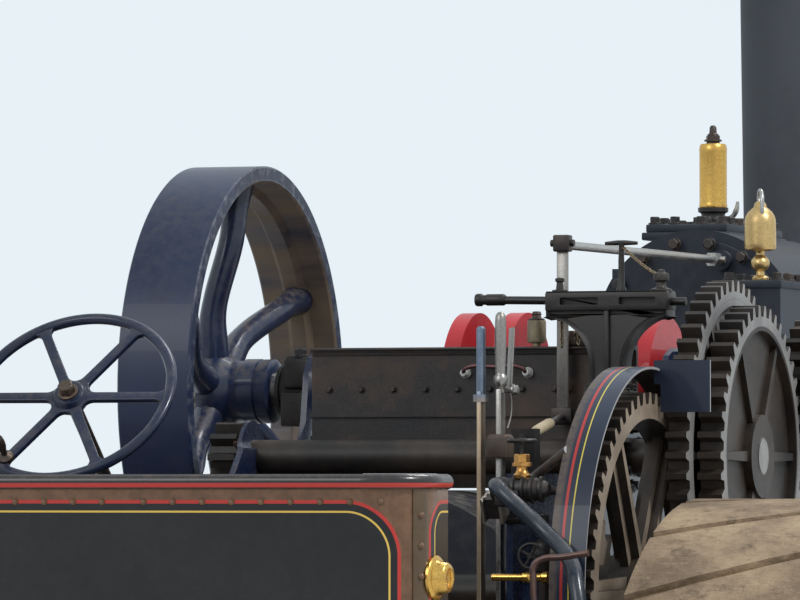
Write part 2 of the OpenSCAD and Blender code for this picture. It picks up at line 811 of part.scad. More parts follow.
// A point beside a spoke's curved centre line, at a share of its length
function curved(share, aside) = [spoke_from + (fly_r - rim_depth + 4 - spoke_from) * share,
    spoke_bend * sin(360 * share) + aside * (1 - 0.22 * share)];
module flywheel() {
    y1 = fly_in + fly_w;
    mid = fly_in + fly_w / 2;
    steps = 12;
    place() color("midnightblue") {
        across(crank_x, crank_z, fly_in, y1, fly_r, fly_r - rim_depth);
        across(crank_x, crank_z, mid - 24, mid + 24, fly_r - 5, fly_r - rim_depth - 22);
        across(crank_x, crank_z, mid - 60, mid + 50, 132, crank_shaft_r);
        across(crank_x, crank_z, fly_in - 24, y1 - 25, 86, crank_shaft_r);
        translate([crank_x, 0, crank_z]) for (i = [0:spoke_count - 1], w = spoke_layers)
            side_slab(mid - w[0], mid + w[0]) rotate(i * 360 / spoke_count + 20)
                polygon(concat([for (k = [0:steps]) curved(k / steps, -w[1])],
                    [for (k = [steps:-1:0]) curved(k / steps, w[1])]));
    }
}

module crank_pinions() {
    place() color("dimgray") difference() {
        union() {
            gear(crank_x, crank_z, slow_pinion_y, gear_m, teeth_slow_pinion, 0, 60);
            gear(crank_x, crank_z, fast_pinion_y, gear_m, teeth_fast_pinion, 0, 60);
            across(crank_x, crank_z, fast_pinion_y[0] - 15, slow_pinion_y[1], 80);
        }
        across(crank_x, crank_z, fast_pinion_y[0] - 60, slow_pinion_y[1] + 60, crank_shaft_r);
    }
}

module connecting_rod() {
    place() color("silver") {
        across(pin_x, crank_z, crank_y - pin_half + clear, crank_y + pin_half - clear, 78, 42 + run_gap);
        across(small_x, crank_z, crank_y - 22, crank_y + 22, 40, 18);
        translate([pin_x + 74, crank_y - 20, crank_z - 26]) cube([rod_len - 74 - 38, 40, 52]);
    }
}

module second_shaft() {
    place() color("dimgray") {
        across(second_x, second_z, fast_y[0] - 3, horn_out + 112, 45);
        gear(second_x, second_z, [horn_out + 26, horn_out + 100], gear_m, 10, 0, 50);
        gear(second_x, second_z, slow_y, gear_m, teeth_slow, 0, 120, 6, true);
        gear(second_x, second_z, fast_y, gear_m, teeth_fast, 0, 105, 6, true);
        gear(second_x, second_z, guarded_y, gear_m, teeth_second_pinion, phase_pinion, 60);
        across(second_x, second_z, fast_y[0] + 2, guarded_y[1], 70);
    }
}

module third_shaft() {
    place() color("dimgray") {
        across(third_x, third_z, guarded_y[0] - 6, horn_out + 15, 45);
        gear(third_x, third_z, guarded_y, gear_m, teeth_third, phase_guarded, 110, 6);
        gear(third_x, third_z, final_y, final_m, teeth_final_pinion, phase_final_pinion, 60);
        across(third_x, third_z, guarded_y[0] - 2, final_y[1], 70);
    }
}

boiler();
smokebox();
smokebox_door();
firebox();
firehole_door();
side_plate_left();
side_plate_right();
cross_plate();
tender();
water_tank();
drawbar();
chimney();
cylinder_block();
slide_bars();
safety_valve();
lubricator();
gear_bracket();
gear_guard();
regulator_rods();
lever_stand();
water_pipes();
perch_bracket();
steering_brackets();
front_axle();
front_wheel_left();
front_wheel_right();
chain_drum();
chain_left();
chain_right();
steering_wheel();
rear_axle();
rear_tyre_left();
rear_tyre_right();
rear_wheel_left();
rear_wheel_right();
crankshaft();
flywheel();
crank_pinions();
connecting_rod();
second_shaft();
third_shaft();
reversing_lever();
gear_lever();
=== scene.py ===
"""Looks of a steam traction engine: paint, worn metal, lining, rivets, bolts and small fittings."""
import json
import math
import random

import bpy
from mathutils import Matrix, Vector


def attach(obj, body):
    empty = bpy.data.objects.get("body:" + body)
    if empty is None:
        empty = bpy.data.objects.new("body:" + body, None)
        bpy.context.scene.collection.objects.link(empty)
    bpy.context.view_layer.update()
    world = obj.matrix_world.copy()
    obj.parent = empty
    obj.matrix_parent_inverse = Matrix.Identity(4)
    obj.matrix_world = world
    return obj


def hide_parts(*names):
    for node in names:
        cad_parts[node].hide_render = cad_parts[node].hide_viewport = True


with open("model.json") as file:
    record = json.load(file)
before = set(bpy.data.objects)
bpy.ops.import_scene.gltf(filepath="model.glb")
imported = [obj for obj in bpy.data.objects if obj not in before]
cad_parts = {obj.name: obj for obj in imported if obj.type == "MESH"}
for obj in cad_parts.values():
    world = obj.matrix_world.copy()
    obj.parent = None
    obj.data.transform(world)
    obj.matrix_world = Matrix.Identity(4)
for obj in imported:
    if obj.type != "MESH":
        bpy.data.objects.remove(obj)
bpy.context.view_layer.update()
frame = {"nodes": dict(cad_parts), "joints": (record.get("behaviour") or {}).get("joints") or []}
nodes = frame["nodes"]
bpy.ops.object.select_all(action="DESELECT")

# Setting: a plain pale floor and sky, soft lamps, and the camera of the photograph,
# which stands behind the engine on its right and looks forward past the tender.
camera_data = bpy.data.cameras.new("photo_view")
camera_data.sensor_width = 36
camera_data.lens = 290
camera_data.clip_end = 200
camera = bpy.data.objects.new("photo_view", camera_data)
camera.location = (-16.54, -5.29, 2.0)
camera.rotation_euler = (math.radians(91.69), 0, math.radians(-71.0))
bpy.context.scene.collection.objects.link(camera)
bpy.context.scene.camera = camera
bpy.context.scene.view_settings.view_transform = "Standard"

bpy.ops.mesh.primitive_circle_add(vertices=64, radius=40, fill_type="NGON", location=(0, 0, -0.002))
floor = bpy.context.object
floor.name = "studio_floor"
floor_paint = bpy.data.materials.new("studio_floor")
floor_paint.use_nodes = True
floor_shader = floor_paint.node_tree.nodes["Principled BSDF"]
floor_shader.inputs["Base Color"].default_value = (0.72, 0.72, 0.71, 1)
floor_shader.inputs["Roughness"].default_value = 0.9
floor.data.materials.append(floor_paint)


class Field:
    """A number or colour that varies over a surface. Operators on it add Math nodes."""

    def __init__(self, tree, socket):
        self.tree = tree
        self.socket = socket

    def node(self, kind, settings=None, sockets=None, out=0):
        """Adds a node: its settings first, then what goes into its sockets."""
        made = self.tree.nodes.new(kind)
        for key, value in (settings or {}).items():
            setattr(made, key, value)
        for key, value in (sockets or {}).items():
            if isinstance(value, Field):
                self.tree.links.new(value.socket, made.inputs[key])
            else:
                made.inputs[key].default_value = value
        return Field(self.tree, made.outputs[out])

    def math(self, operation, first, second=0.0):
        return self.node("ShaderNodeMath", {"operation": operation}, {0: first, 1: second})

    def __add__(self, other):
        return self.math("ADD", self, other)

    __radd__ = __add__

    def __sub__(self, other):
        return self.math("SUBTRACT", self, other)

    def __rsub__(self, other):
        return self.math("SUBTRACT", other, self)

    def __mul__(self, other):
        return self.math("MULTIPLY", self, other)

    __rmul__ = __mul__

    def __gt__(self, other):
        return self.math("GREATER_THAN", self, other)

    def __lt__(self, other):
        return self.math("LESS_THAN", self, other)

    def __abs__(self):
        return self.math("ABSOLUTE", self)

    def part(self, name):
        """One of X, Y and Z of a vector."""
        return self.node("ShaderNodeSeparateXYZ", None, {0: self}, out=name)

    def off_axis(self, centre):
        """How far this point lies from an axis along Y: in X, in Z, and straight."""
        off_x, off_z = self.part("X") - centre[0], self.part("Z") - centre[1]
        return off_x, off_z, self.math("SQRT", off_x * off_x + off_z * off_z)

    def noise(self, scale, detail=4.0, rough=0.55, stretch=(1, 1, 1)):
        """Noise that reads this vector, with its features about 1 / scale metres across."""
        mapped = self.node("ShaderNodeMapping", None, {"Vector": self, "Scale": stretch})
        return self.node("ShaderNodeTexNoise", None,
                         {"Vector": mapped, "Scale": scale, "Detail": detail, "Roughness": rough})

    def steps(self, low, high):
        """A smooth rise from 0 to 1 as this goes from low to high."""
        return self.node("ShaderNodeMapRange", {"interpolation_type": "SMOOTHSTEP"},
                         {"Value": self, "From Min": low, "From Max": high})

    def blend(self, first, second):
        """A mix of two colours, by this."""
        first, second = (value if isinstance(value, Field) else (*value, 1) for value in (first, second))
        return self.node("ShaderNodeMix", {"data_type": "RGBA"}, {0: self, 6: first, 7: second}, out=2)

    def mottle(self, dark, pale):
        """Patches of two colours, by this noise."""
        return self.steps(0.3, 0.7).blend(dark, pale)


# Daylight is a little blue on the engine and paler where the sky itself is seen or mirrored.
sky = bpy.data.worlds.new("studio_sky")
sky.use_nodes = True
bpy.context.scene.world = sky
sky_tree = sky.node_tree
sky_tree.nodes["Background"].inputs["Color"].default_value = (0.80, 0.86, 0.95, 1)
sky_tree.nodes["Background"].inputs["Strength"].default_value = 0.6
shade = Field(sky_tree, sky_tree.nodes["Background"].outputs[0])
pale = shade.node("ShaderNodeBackground", None, {"Color": (0.80, 0.88, 0.93, 1), "Strength": 1.0})
seen, mirrored, passing = (shade.node("ShaderNodeLightPath", out=f"Is {kind} Ray")
                           for kind in ("Camera", "Glossy", "Transmission"))
paler = shade.math("MAXIMUM", shade.math("MAXIMUM", seen, mirrored), passing)
sky_mix = shade.node("ShaderNodeMixShader", None, {0: paler, 1: shade, 2: pale})
sky_tree.links.new(sky_mix.socket, sky_tree.nodes["World Output"].inputs["Surface"])

for name, place, target, size, power in [
        ("sun_side", (-3.5, -14.0, 17.0), (0.0, 0.0, 1.8), 3.0, 2200),
        ("fill_back", (-15.0, 6.0, 11.0), (-1.0, 0.0, 1.8), 7.0, 600),
        ("top_front", (7.0, -3.0, 14.0), (0.0, 0.0, 1.8), 4.0, 640)]:
    lamp_data = bpy.data.lights.new(name, "AREA")
    lamp_data.size = size
    lamp_data.energy = power
    lamp = bpy.data.objects.new(name, lamp_data)
    lamp.location = place
    lamp.rotation_euler = (Vector(target) - Vector(place)).to_track_quat("-Z", "Y").to_euler()
    bpy.context.scene.collection.objects.link(lamp)

# Boiler, firebox and side plates: riveted steel plate under dark blue-black oil paint,
# glossy where it is wiped and dulled by soot, dust and oil round the motion.
def new_finish(name, sheen=0.5):
    """A material with its coordinates, its normals and its shader, ready for a finish."""
    made = bpy.data.materials.new(name)
    made.use_nodes = True
    tree = made.node_tree
    shader = tree.nodes["Principled BSDF"]
    shader.inputs["Specular IOR Level"].default_value = sheen
    place = Field(tree, tree.nodes.new("ShaderNodeTexCoord").outputs["Object"])
    facing = Field(tree, tree.nodes.new("ShaderNodeNewGeometry").outputs["Normal"])
    return made, shader, place, facing


def feed(shader, **values):
    """Feeds the shader's sockets, each named with _ for a space."""
    for name, value in values.items():
        socket = shader.inputs[name.replace("_", " ")]
        if isinstance(value, Field):
            value.tree.links.new(value.socket, socket)
        else:
            socket.default_value = value


def bumped(place, height, strength, depth):
    return place.node("ShaderNodeBump", None, {"Height": height, "Strength": strength, "Distance": depth})


def toned(colour, share):
    return [min(1, part * share) for part in colour]


def oil_paint(name, colour, gloss=0.22, coat=0.5, dusty=0.35, chips=0.6):
    """Brushed coach paint: a little uneven, with dust on what faces up and chips down to bare iron."""
    made, shader, place, facing = new_finish(name, 0.3)
    cloudy = place.noise(1.7, 5.0, 0.6)
    fine = place.noise(34.0, 6.0, 0.65)
    speck = place.noise(120.0, 3.0, 0.6)
    tone = cloudy.mottle(toned(colour, 0.72), toned(colour, 1.25))
    up = facing.part("Z").steps(0.1, 0.95)
    lying = (up * 0.75 + 0.18) * fine.steps(0.38, 0.68) * dusty
    chipped = place.noise(9.0, 8.0, 0.7).steps(0.66, 0.70) * chips
    shade = chipped.blend(lying.blend(tone, (0.20, 0.16, 0.12)), (0.11, 0.09, 0.08))
    feed(shader, Base_Color=shade,
         Roughness=(cloudy * 0.10 + gloss) + lying * 0.9 + chipped * 0.3,
         Normal=bumped(place, fine * 0.5 + speck * 0.3 - chipped * 0.8, 0.35, 0.0012),
         Coat_Weight=(1 - lying) * coat * 0.35,
         Coat_Roughness=0.12)
    return made


boiler_paint = oil_paint("boiler_black", (0.022, 0.025, 0.033), gloss=0.30, dusty=0.5)
blue_paint = oil_paint("navy_gloss", (0.008, 0.016, 0.046), gloss=0.20, coat=0.7, dusty=0.30)
lagging_paint = oil_paint("slate_lagging", (0.020, 0.027, 0.040), gloss=0.50, coat=0.08, dusty=0.30)


def dress(finish, *names):
    """Gives CAD nodes their finish."""
    for name in names:
        if not nodes[name].material_slots:
            nodes[name].data.materials.append(finish)
        for slot in nodes[name].material_slots:
            slot.material = finish


dress(boiler_paint, "boiler", "firebox")
dress(blue_paint, "side_plate_left", "side_plate_right", "water_pipes", "flywheel", "steering_wheel")
dress(lagging_paint, "cylinder_block")


# Iron castings and forgings: gears, shafts, brackets and axles, dark with old oil,
# with grey metal showing where teeth and bearings rub.
def oily_iron(name, colour=(0.040, 0.038, 0.038), rust=(0.16, 0.085, 0.045), rusty=0.45, rough=0.42, metal=0.75):
    """Bare metal, with rust or tarnish in patches and a fine grain."""
    made, shader, place, facing = new_finish(name)
    cloudy = place.noise(5.0, 6.0, 0.65)
    grain = place.noise(160.0, 3.0, 0.5)
    stained = cloudy.steps(0.40, 0.85) * rusty
    tone = grain.steps(0.2, 0.8).blend(toned(colour, 0.85), toned(colour, 1.2))
    feed(shader, Base_Color=stained.blend(tone, rust),
         Metallic=(1 - stained) * metal,
         Roughness=grain * 0.15 + rough - 0.08 + stained * 0.35,
         Normal=bumped(place, grain * 0.3 + cloudy * 0.6, 0.25, 0.0012))
    return made


dark_iron = oily_iron("oily_iron")


def cut_gears(name, rings, face_dark, face_pale):
    """Gear iron: oily black, with machined side faces in rings of (axis, inner, outer) metres."""
    made, shader, place, facing = new_finish(name, 0.35)
    side_on = abs(facing.part("Y")).steps(0.85, 0.97)
    grain = place.noise(90.0, 4.0, 0.6)
    patch = place.noise(6.0, 6.0, 0.65)
    bare = None
    for axis, inner, outer in rings:
        radius = place.off_axis(axis)[2]
        ring = radius.steps(inner - 0.002, inner + 0.002) * radius.steps(outer + 0.002, outer - 0.002)
        bare = ring if bare is None else place.math("MAXIMUM", bare, ring)
    worn = side_on * bare
    dark = patch.mottle((0.012, 0.0105, 0.0095), (0.050, 0.036, 0.026))
    pale_face = patch.steps(0.35, 0.7).blend(face_dark, face_pale)
    feed(shader, Base_Color=worn.blend(dark, pale_face),
         Metallic=worn * 0.25 + 0.05,
         Roughness=grain * 0.15 + 0.40 + worn * 0.08,
         Normal=bumped(place, grain * 0.4 + patch * 0.7, 0.3, 0.0015))
    return made


centre_of = {joint["name"]: Vector(joint["pos_m"]) for joint in frame["joints"]}
crank_at, second_at, third_at, axle_at = (centre_of[shaft + "_turn"].xz
                                          for shaft in ("crank", "second_shaft", "third_shaft", "rear_axle"))
gear_iron = cut_gears("gear_iron", [(second_at, 0.398, 0.460), (second_at, 0.328, 0.398), (second_at, 0.0, 0.047),
                                    (crank_at, 0.150, 0.260)], (0.21, 0.205, 0.20), (0.34, 0.335, 0.32))
dusty_gear = cut_gears("dusty_gear", [(third_at, 0.0, 0.52), (axle_at, 0.30, 0.62)], (0.23, 0.175, 0.125),
                       (0.36, 0.295, 0.225))
dress(dark_iron, "firehole_door", "cross_plate", "drawbar", "gear_bracket", "lever_stand", "perch_bracket",
      "steering_brackets", "front_axle", "chain_drum", "chain_left", "chain_right")
dress(gear_iron, "crank_pinions", "second_shaft")
dress(dusty_gear, "rear_axle", "third_shaft")

# Bright steel: rods, levers and the crankshaft, wiped with an oily rag. The crank's webs
# and the balance disc are painted red over the bright forging.
bright_steel = oily_iron("wiped_steel", (0.40, 0.39, 0.37), rust=(0.20, 0.14, 0.09), rusty=0.35, rough=0.30,
                         metal=0.95)
red_webs, shader, place, facing = new_finish("crank_red_and_steel")
radius = place.off_axis(crank_at)[2]
y = place.part("Y")
web_zone = (abs(abs(y - 0.030) - 0.0675) < 0.0235) + (abs(y + 0.425) < 0.0215)
web_mask = (radius > 0.053) * (web_zone > 0.5)
cloudy = place.noise(6.0, 6.0, 0.65)
grain = place.noise(80.0, 4.0, 0.6)
steel = grain.mottle((0.20, 0.19, 0.18), (0.42, 0.41, 0.40))
red = cloudy.mottle((0.36, 0.004, 0.008), (0.48, 0.007, 0.014))
feed(shader, Base_Color=web_mask.blend(steel, red),
     Metallic=(1 - web_mask) * 0.9,
     Roughness=grain * 0.2 + 0.22 + web_mask * 0.2,
     Coat_Weight=web_mask * 0.25,
     Normal=bumped(place, grain * 0.5 + cloudy * 0.4, 0.3, 0.001))
dress(red_webs, "crankshaft")
dress(bright_steel, "slide_bars", "regulator_rods", "connecting_rod", "reversing_lever", "gear_lever")

# Chimney, smokebox and its door: heat-proof black turned grey by heat and weather, with
# hardly any gloss left.
chimney_paint = oil_paint("heat_grey", (0.050, 0.056, 0.064), gloss=0.62, coat=0.0, dusty=0.3)
dress(chimney_paint, "chimney", "smokebox", "smokebox_door")

# Tender: black gloss plates lined out by hand. From the rail down come a brown band,
# a red line and a thin yellow line, and they turn down beside the riveted corner strips.
tender_back, corner_r, flat_half = -3.085, 0.13, 0.57
strip_in, strip_out, rail_foot = 0.684, 0.726, 2.003


def around_tender(place):
    """How far a point lies round the tender's plan from the middle of its back, in metres."""
    behind = (tender_back + corner_r) - place.part("X")
    beside = abs(place.part("Y")) - flat_half
    rounding = place.math("ARCTAN2", place.math("MAXIMUM", beside, 0.0), place.math("MAXIMUM", behind, 0.0))
    ahead = place.math("MAXIMUM", 0.0 - behind, 0.0)
    return place.math("MINIMUM", abs(place.part("Y")), flat_half) + rounding * corner_r + ahead


def inside_panel(u, z, centre, half_long, middle, half_high, corner):
    """Signed distance from a rounded panel's edge, above 0 outside it."""
    across = u.math("MAXIMUM", abs(u - centre) - (half_long - corner), 0.0)
    upward = u.math("MAXIMUM", abs(z - middle) - (half_high - corner), 0.0)
    return u.math("SQRT", across * across + upward * upward) - corner


tender_paint, shader, place, facing = new_finish("tender_lined", 0.3)
cloudy = place.noise(2.1, 5.0, 0.6)
fine = place.noise(40.0, 6.0, 0.65)
u = around_tender(place)
z = place.part("Z")
back_panel = inside_panel(u, z, 0.0, 0.630, 1.47, 0.482, 0.10)
side_panel = inside_panel(u, z, 1.16, 0.40, 1.47, 0.482, 0.05)
panel = u.math("MINIMUM", back_panel, side_panel)
black = cloudy.mottle((0.005, 0.005, 0.006), (0.013, 0.012, 0.012))
brown = fine.mottle((0.125, 0.064, 0.032), (0.185, 0.096, 0.050))
yellow_line = abs(panel) < 0.0022
red_line = abs(panel - 0.022) < 0.0040
border = (panel > 0.026) * (z < rail_foot)
red = (0.50, 0.035, 0.025)
shade = red_line.blend(yellow_line.blend(border.blend(black, brown), (0.75, 0.50, 0.09)), red)
bead_line = (z > rail_foot + 0.003) * (z < rail_foot + 0.013)
shade = bead_line.blend((z > rail_foot).blend(shade, (0.030, 0.026, 0.026)), red)
up = facing.part("Z").steps(0.2, 0.95)
dusty = (up * 0.7 + 0.08 + z.steps(1.5, 0.7) * 0.5) * fine.steps(0.40, 0.72) * 0.35
feed(shader, Base_Color=dusty.blend(shade, (0.20, 0.15, 0.11)),
     Roughness=cloudy * 0.08 + 0.20 + dusty * 0.8,
     Coat_Weight=(1 - dusty) * 0.25,
     Coat_Roughness=0.1,
     Normal=bumped(place, fine * 0.4 + cloudy * 0.8, 0.25, 0.0012))
dress(tender_paint, "tender")
tank_paint = oil_paint("tank_black", (0.020, 0.018, 0.018), gloss=0.35, coat=0.4, dusty=0.6)
dress(tank_paint, "water_tank")

# Wheels: brown-red painted centres, and steel treads covered with dried earth and bits of
# straw.
wheel_paint = oil_paint("wheel_brown", (0.13, 0.055, 0.030), gloss=0.35, coat=0.3, dusty=0.7)
dress(wheel_paint, "front_wheel_left", "front_wheel_right", "rear_wheel_left", "rear_wheel_right")
tread, shader, place, facing = new_finish("muddy_tread")
caked = place.noise(3.2, 7.0, 0.68)
lumpy = place.noise(17.0, 6.0, 0.7)
straw = place.noise(55.0, 5.0, 0.7, stretch=(1, 0.3, 1))
earth = caked.steps(0.34, 0.66).blend((0.155, 0.105, 0.062), (0.40, 0.29, 0.175))
earth = (lumpy.steps(0.52, 0.72) * 0.75).blend(earth, (0.075, 0.048, 0.028))
earth = (straw.steps(0.60, 0.72) * 0.6).blend(earth, (0.52, 0.40, 0.24))
feed(shader, Base_Color=earth,
     Roughness=lumpy * 0.15 + 0.72,
     Normal=bumped(place, caked * 1.5 + lumpy * 1.2 + straw * 0.5, 0.8, 0.009))
dress(tread, "rear_tyre_left", "rear_tyre_right")

# Brass fittings: the safety valve's column, the filler, the union and the boiler's bands,
# yellow where they are rubbed and brown in patches.
brass = oily_iron("brass", (0.66, 0.40, 0.10), rust=(0.34, 0.19, 0.06), rusty=0.35, rough=0.26, metal=1.0)
dress(brass, "safety_valve", "lubricator")

# Bearing bolts of the second shaft, the third shaft and the rear axle: black hexagon heads
# with raised tops on thin washers, in a ring on the outside of each side plate.
def clear_selection():
    bpy.ops.object.select_all(action="DESELECT")


def start_piece(name):
    """The primitive just added, named, with its place moved into its mesh."""
    piece = bpy.context.object
    piece.name = name
    piece.data.name = name
    bpy.ops.object.transform_apply(location=True, rotation=True, scale=True)
    return piece


def pick_only(*pieces):
    """Selects these pieces and nothing else, with the first of them active."""
    clear_selection()
    for piece in pieces:
        piece.select_set(True)
    bpy.context.view_layer.objects.active = pieces[0]


def edit_all(piece, *steps):
    """Runs edit-mode steps, each on the whole piece."""
    pick_only(piece)
    bpy.ops.object.mode_set(mode="EDIT")
    for step in steps:
        bpy.ops.mesh.select_all(action="SELECT")
        step()
    bpy.ops.object.mode_set(mode="OBJECT")


def in_edit(piece, pick, *steps):
    """Runs edit-mode steps on the faces that pick chooses."""
    edit_all(piece, lambda: bpy.ops.mesh.select_all(action="DESELECT"))
    for face in piece.data.polygons:
        face.select = pick(face)
    bpy.ops.object.mode_set(mode="EDIT")
    bpy.ops.mesh.select_mode(type="FACE")
    for step in steps:
        step()
    bpy.ops.object.mode_set(mode="OBJECT")


def cleaned(piece, merge=0.0):
    """Merges points that lie together and turns every face outward."""
    edit_all(piece, lambda: bpy.ops.mesh.remove_doubles(threshold=merge),
             lambda: bpy.ops.mesh.normals_make_consistent(inside=False))
    return piece


def raise_top(piece, inset, rise):
    """Draws a piece's upper faces in and lifts them."""
    in_edit(piece, lambda face: face.normal.z > 0.9, lambda: bpy.ops.mesh.inset(thickness=inset),
            lambda: bpy.ops.transform.translate(value=(0, 0, rise)))


def modified(piece, kind, **settings):
    """Adds a modifier and applies it."""
    pick_only(piece)
    made = piece.modifiers.new(kind.lower(), kind)
    for key, value in settings.items():
        setattr(made, key, value)
    bpy.ops.object.modifier_apply(modifier=made.name)
    return piece


def joined(pieces, name):
    """Several meshes as one piece."""
    pick_only(*pieces)
    if len(pieces) > 1:
        bpy.ops.object.join()
    pieces[0].name = name
    pieces[0].data.name = name
    return pieces[0]


def new_object(name, data):
    """An object at the origin, in the scene."""
    made = bpy.data.objects.new(name, data)
    bpy.context.scene.collection.objects.link(made)
    return made


def set_out(pattern, matrices, name, keep=False):
    """Copies the pattern to each place, each copy with its own mesh, and joins them as one piece."""
    copies = []
    for matrix in matrices:
        copies.append(new_object(name, pattern.data.copy()))
        copies[-1].data.transform(matrix)
    if not keep:
        bpy.data.objects.remove(pattern)
    return joined(copies, name)


def finish_piece(piece, material, body, angle=35):
    """Gives a piece its material, smooths it, and lets it ride on its body."""
    piece.data.materials.clear()
    piece.data.materials.append(material)
    pick_only(piece)
    bpy.ops.object.shade_smooth_by_angle(angle=math.radians(angle))
    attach(piece, body)
    return piece


def hex_bolt(across_flats, height):
    """A hexagon head standing along +Z on a thin washer, with its foot at the origin."""
    clear_selection()
    bpy.ops.mesh.primitive_cylinder_add(vertices=6, radius=across_flats / math.sqrt(3), depth=height,
                                        location=(0, 0, height * 0.65))
    head = start_piece("bolt_head")
    raise_top(head, across_flats * 0.07, height * 0.12)
    clear_selection()
    bpy.ops.mesh.primitive_cylinder_add(vertices=14, radius=across_flats * 0.72, depth=height * 0.4,
                                        location=(0, 0, 0))
    washer = start_piece("washer")
    raise_top(washer, across_flats * 0.04, height * 0.05)
    return joined([head, washer], "bolt")


def stand(point, axis, turn=0.0):
    """Stands a pattern's Z along axis at a point."""
    upright = Vector(axis).to_track_quat("Z", "Y").to_matrix().to_4x4()
    return Matrix.Translation(point) @ upright @ Matrix.Rotation(turn, 4, "Z")


def on_ring(axis, centre, radius, turn):
    """The point at a radius and a turn on a ring round an axis through centre."""
    first, second = {"X": (1, 2), "Y": (0, 2), "Z": (0, 1)}[axis]
    point = list(centre)
    point[first] += radius * math.cos(turn)
    point[second] += radius * math.sin(turn)
    return point


random.seed(11)
spots = []
boss_face = 0.518
for joint, ring, count in [("second_shaft_turn", 0.073, 6), ("third_shaft_turn", 0.070, 6),
                           ("rear_axle_turn", 0.112, 8)]:
    centre = centre_of[joint]
    for k in range(count):
        for side in (-1, 1):
            place = on_ring("Y", (centre.x, side * boss_face, centre.z), ring, math.radians(30 + 360 * k / count))
            spots.append(stand(place, (0, side, 0), random.random()))
bearing_bolts = set_out(hex_bolt(0.022, 0.014), spots, "bearing_bolts")
finish_piece(bearing_bolts, dark_iron, "root")

# Flywheel: one iron casting with a turned rim and six curved, dished round spokes, painted navy,
# with dust and oil on the inside of the rim.
def tube(name, points, radius, sides=12, radii=None, smooth=True):
    """A round bar along points, as a mesh with closed ends."""
    curve = bpy.data.curves.new(name, "CURVE")
    curve.dimensions = "3D"
    curve.bevel_depth = radius
    curve.bevel_resolution = max(0, sides // 4 - 1)
    curve.use_fill_caps = True
    curve.resolution_u = 5
    spline = curve.splines.new("BEZIER" if smooth else "POLY")
    knots = spline.bezier_points if smooth else spline.points
    knots.add(len(points) - 1)
    for index, point in enumerate(points):
        if smooth:
            knots[index].co = point
            knots[index].handle_left_type = knots[index].handle_right_type = "AUTO"
        else:
            knots[index].co = (*point, 1)
        knots[index].radius = radii[index] if radii else 1
    made = new_object(name, curve)
    pick_only(made)
    bpy.ops.object.convert(target="MESH")
    return cleaned(bpy.context.object, 0.00002)


def turned(name, outline, centre=(0, 0, 0), axis=(0, 0, 1), steps=24):
    """A turned piece: an outline of (radius, along) points spun round an axis through centre."""
    closed = outline[0][0] > 0 and outline[-1][0] > 0
    edges = [(k, (k + 1) % len(outline)) for k in range(len(outline) - (0 if closed else 1))]
    mesh = bpy.data.meshes.new(name)
    mesh.from_pydata([(reach, 0, along) for reach, along in outline], edges, [])
    made = new_object(name, mesh)
    edit_all(made, lambda: bpy.ops.mesh.spin(steps=steps, angle=math.tau, center=(0, 0, 0), axis=(0, 0, 1)))
    cleaned(made, 0.00005)
    made.data.transform(stand(centre, axis))
    return made


crank = centre_of["crank_turn"]
fly_in, fly_out = 0.675, 0.875
middle = (fly_in + fly_out) / 2
rim = turned("fly_rim", [(0.6045, fly_in + 0.004), (0.600, fly_in), (0.566, fly_in), (0.560, fly_in + 0.006),
                         (0.556, middle - 0.036), (0.540, middle - 0.020), (0.540, middle + 0.020),
                         (0.556, middle + 0.036), (0.560, fly_out - 0.006), (0.566, fly_out), (0.600, fly_out),
                         (0.6045, fly_out - 0.004)], (crank.x, 0, crank.z), (0, 1, 0), 144)
boss = turned("fly_boss", [(0.0501, 0.652), (0.080, 0.652), (0.086, 0.657), (0.086, 0.684), (0.082, 0.686),
                           (0.082, 0.692), (0.087, 0.694), (0.087, 0.734), (0.083, 0.736), (0.083, 0.758),
                           (0.087, 0.768), (0.100, 0.786), (0.109, 0.806), (0.109, 0.838), (0.102, 0.848),
                           (0.086, 0.852), (0.080, 0.854), (0.0501, 0.854)], (crank.x, 0, crank.z), (0, 1, 0), 72)


def eased(start, end, share):
    """0 before the start, 1 after the end, and a smooth S between."""
    part = min(1.0, max(0.0, (share - start) / (end - start)))
    return part * part * (3 - 2 * part)


spoke_points, spoke_sizes = [], []
for k in range(21):
    share = k / 20
    reach, sweep = 0.078 + 0.479 * share, math.radians(20.3) * (1 - eased(-0.33, 1.38, share))
    dish = 0.772 + 0.051 * (1 - eased(0.195, 0.76, share))
    spoke_points.append((reach * math.cos(sweep), dish, reach * math.sin(sweep)))
    spoke_sizes.append(1.0 + 0.28 * max(0, 1 - share * 3) + 0.35 * max(0, (share - 0.76) / 0.24) ** 2)
spoke = tube("fly_spoke", spoke_points, 0.034, sides=24, radii=spoke_sizes)
spoke_turns = [Matrix.Rotation(-math.radians(25.6 + 60 * k), 4, "Y") for k in range(6)]
spokes = set_out(spoke, [Matrix.Translation((crank.x, 0, crank.z)) @ turn for turn in spoke_turns], "fly_spokes")
casting = joined([rim, boss, spokes], "flywheel_casting")
fly_paint, shader, place, facing = new_finish("flywheel_navy", 0.35)
off_x, off_z, radius = place.off_axis(crank_at)
cloudy = place.noise(2.2, 5.0, 0.6)
fine = place.noise(38.0, 6.0, 0.65)
streak = place.noise(6.0, 5.0, 0.6, stretch=(1, 0.15, 1))
inner = (radius < 0.5985) * (radius > 0.535)
inward = (facing.part("X") * off_x + facing.part("Z") * off_z) < -0.2
grime = inner * inward * streak.steps(0.25, 0.6)
tone = cloudy.mottle((0.006, 0.013, 0.040), (0.012, 0.024, 0.066))
spoke_dust = (facing.part("Z").steps(0.1, 0.95) * 0.5 + 0.12) * fine.steps(0.36, 0.66) * (1 - (radius > 0.57) * 0.75)
rubbed = (abs(place.part("Y") - middle) > 0.0965) * (radius > 0.56) * fine.steps(0.45, 0.70) * 0.5
shade = rubbed.blend(spoke_dust.blend(grime.blend(tone, (0.17, 0.125, 0.082)), (0.16, 0.13, 0.10)),
                     (0.20, 0.22, 0.24))
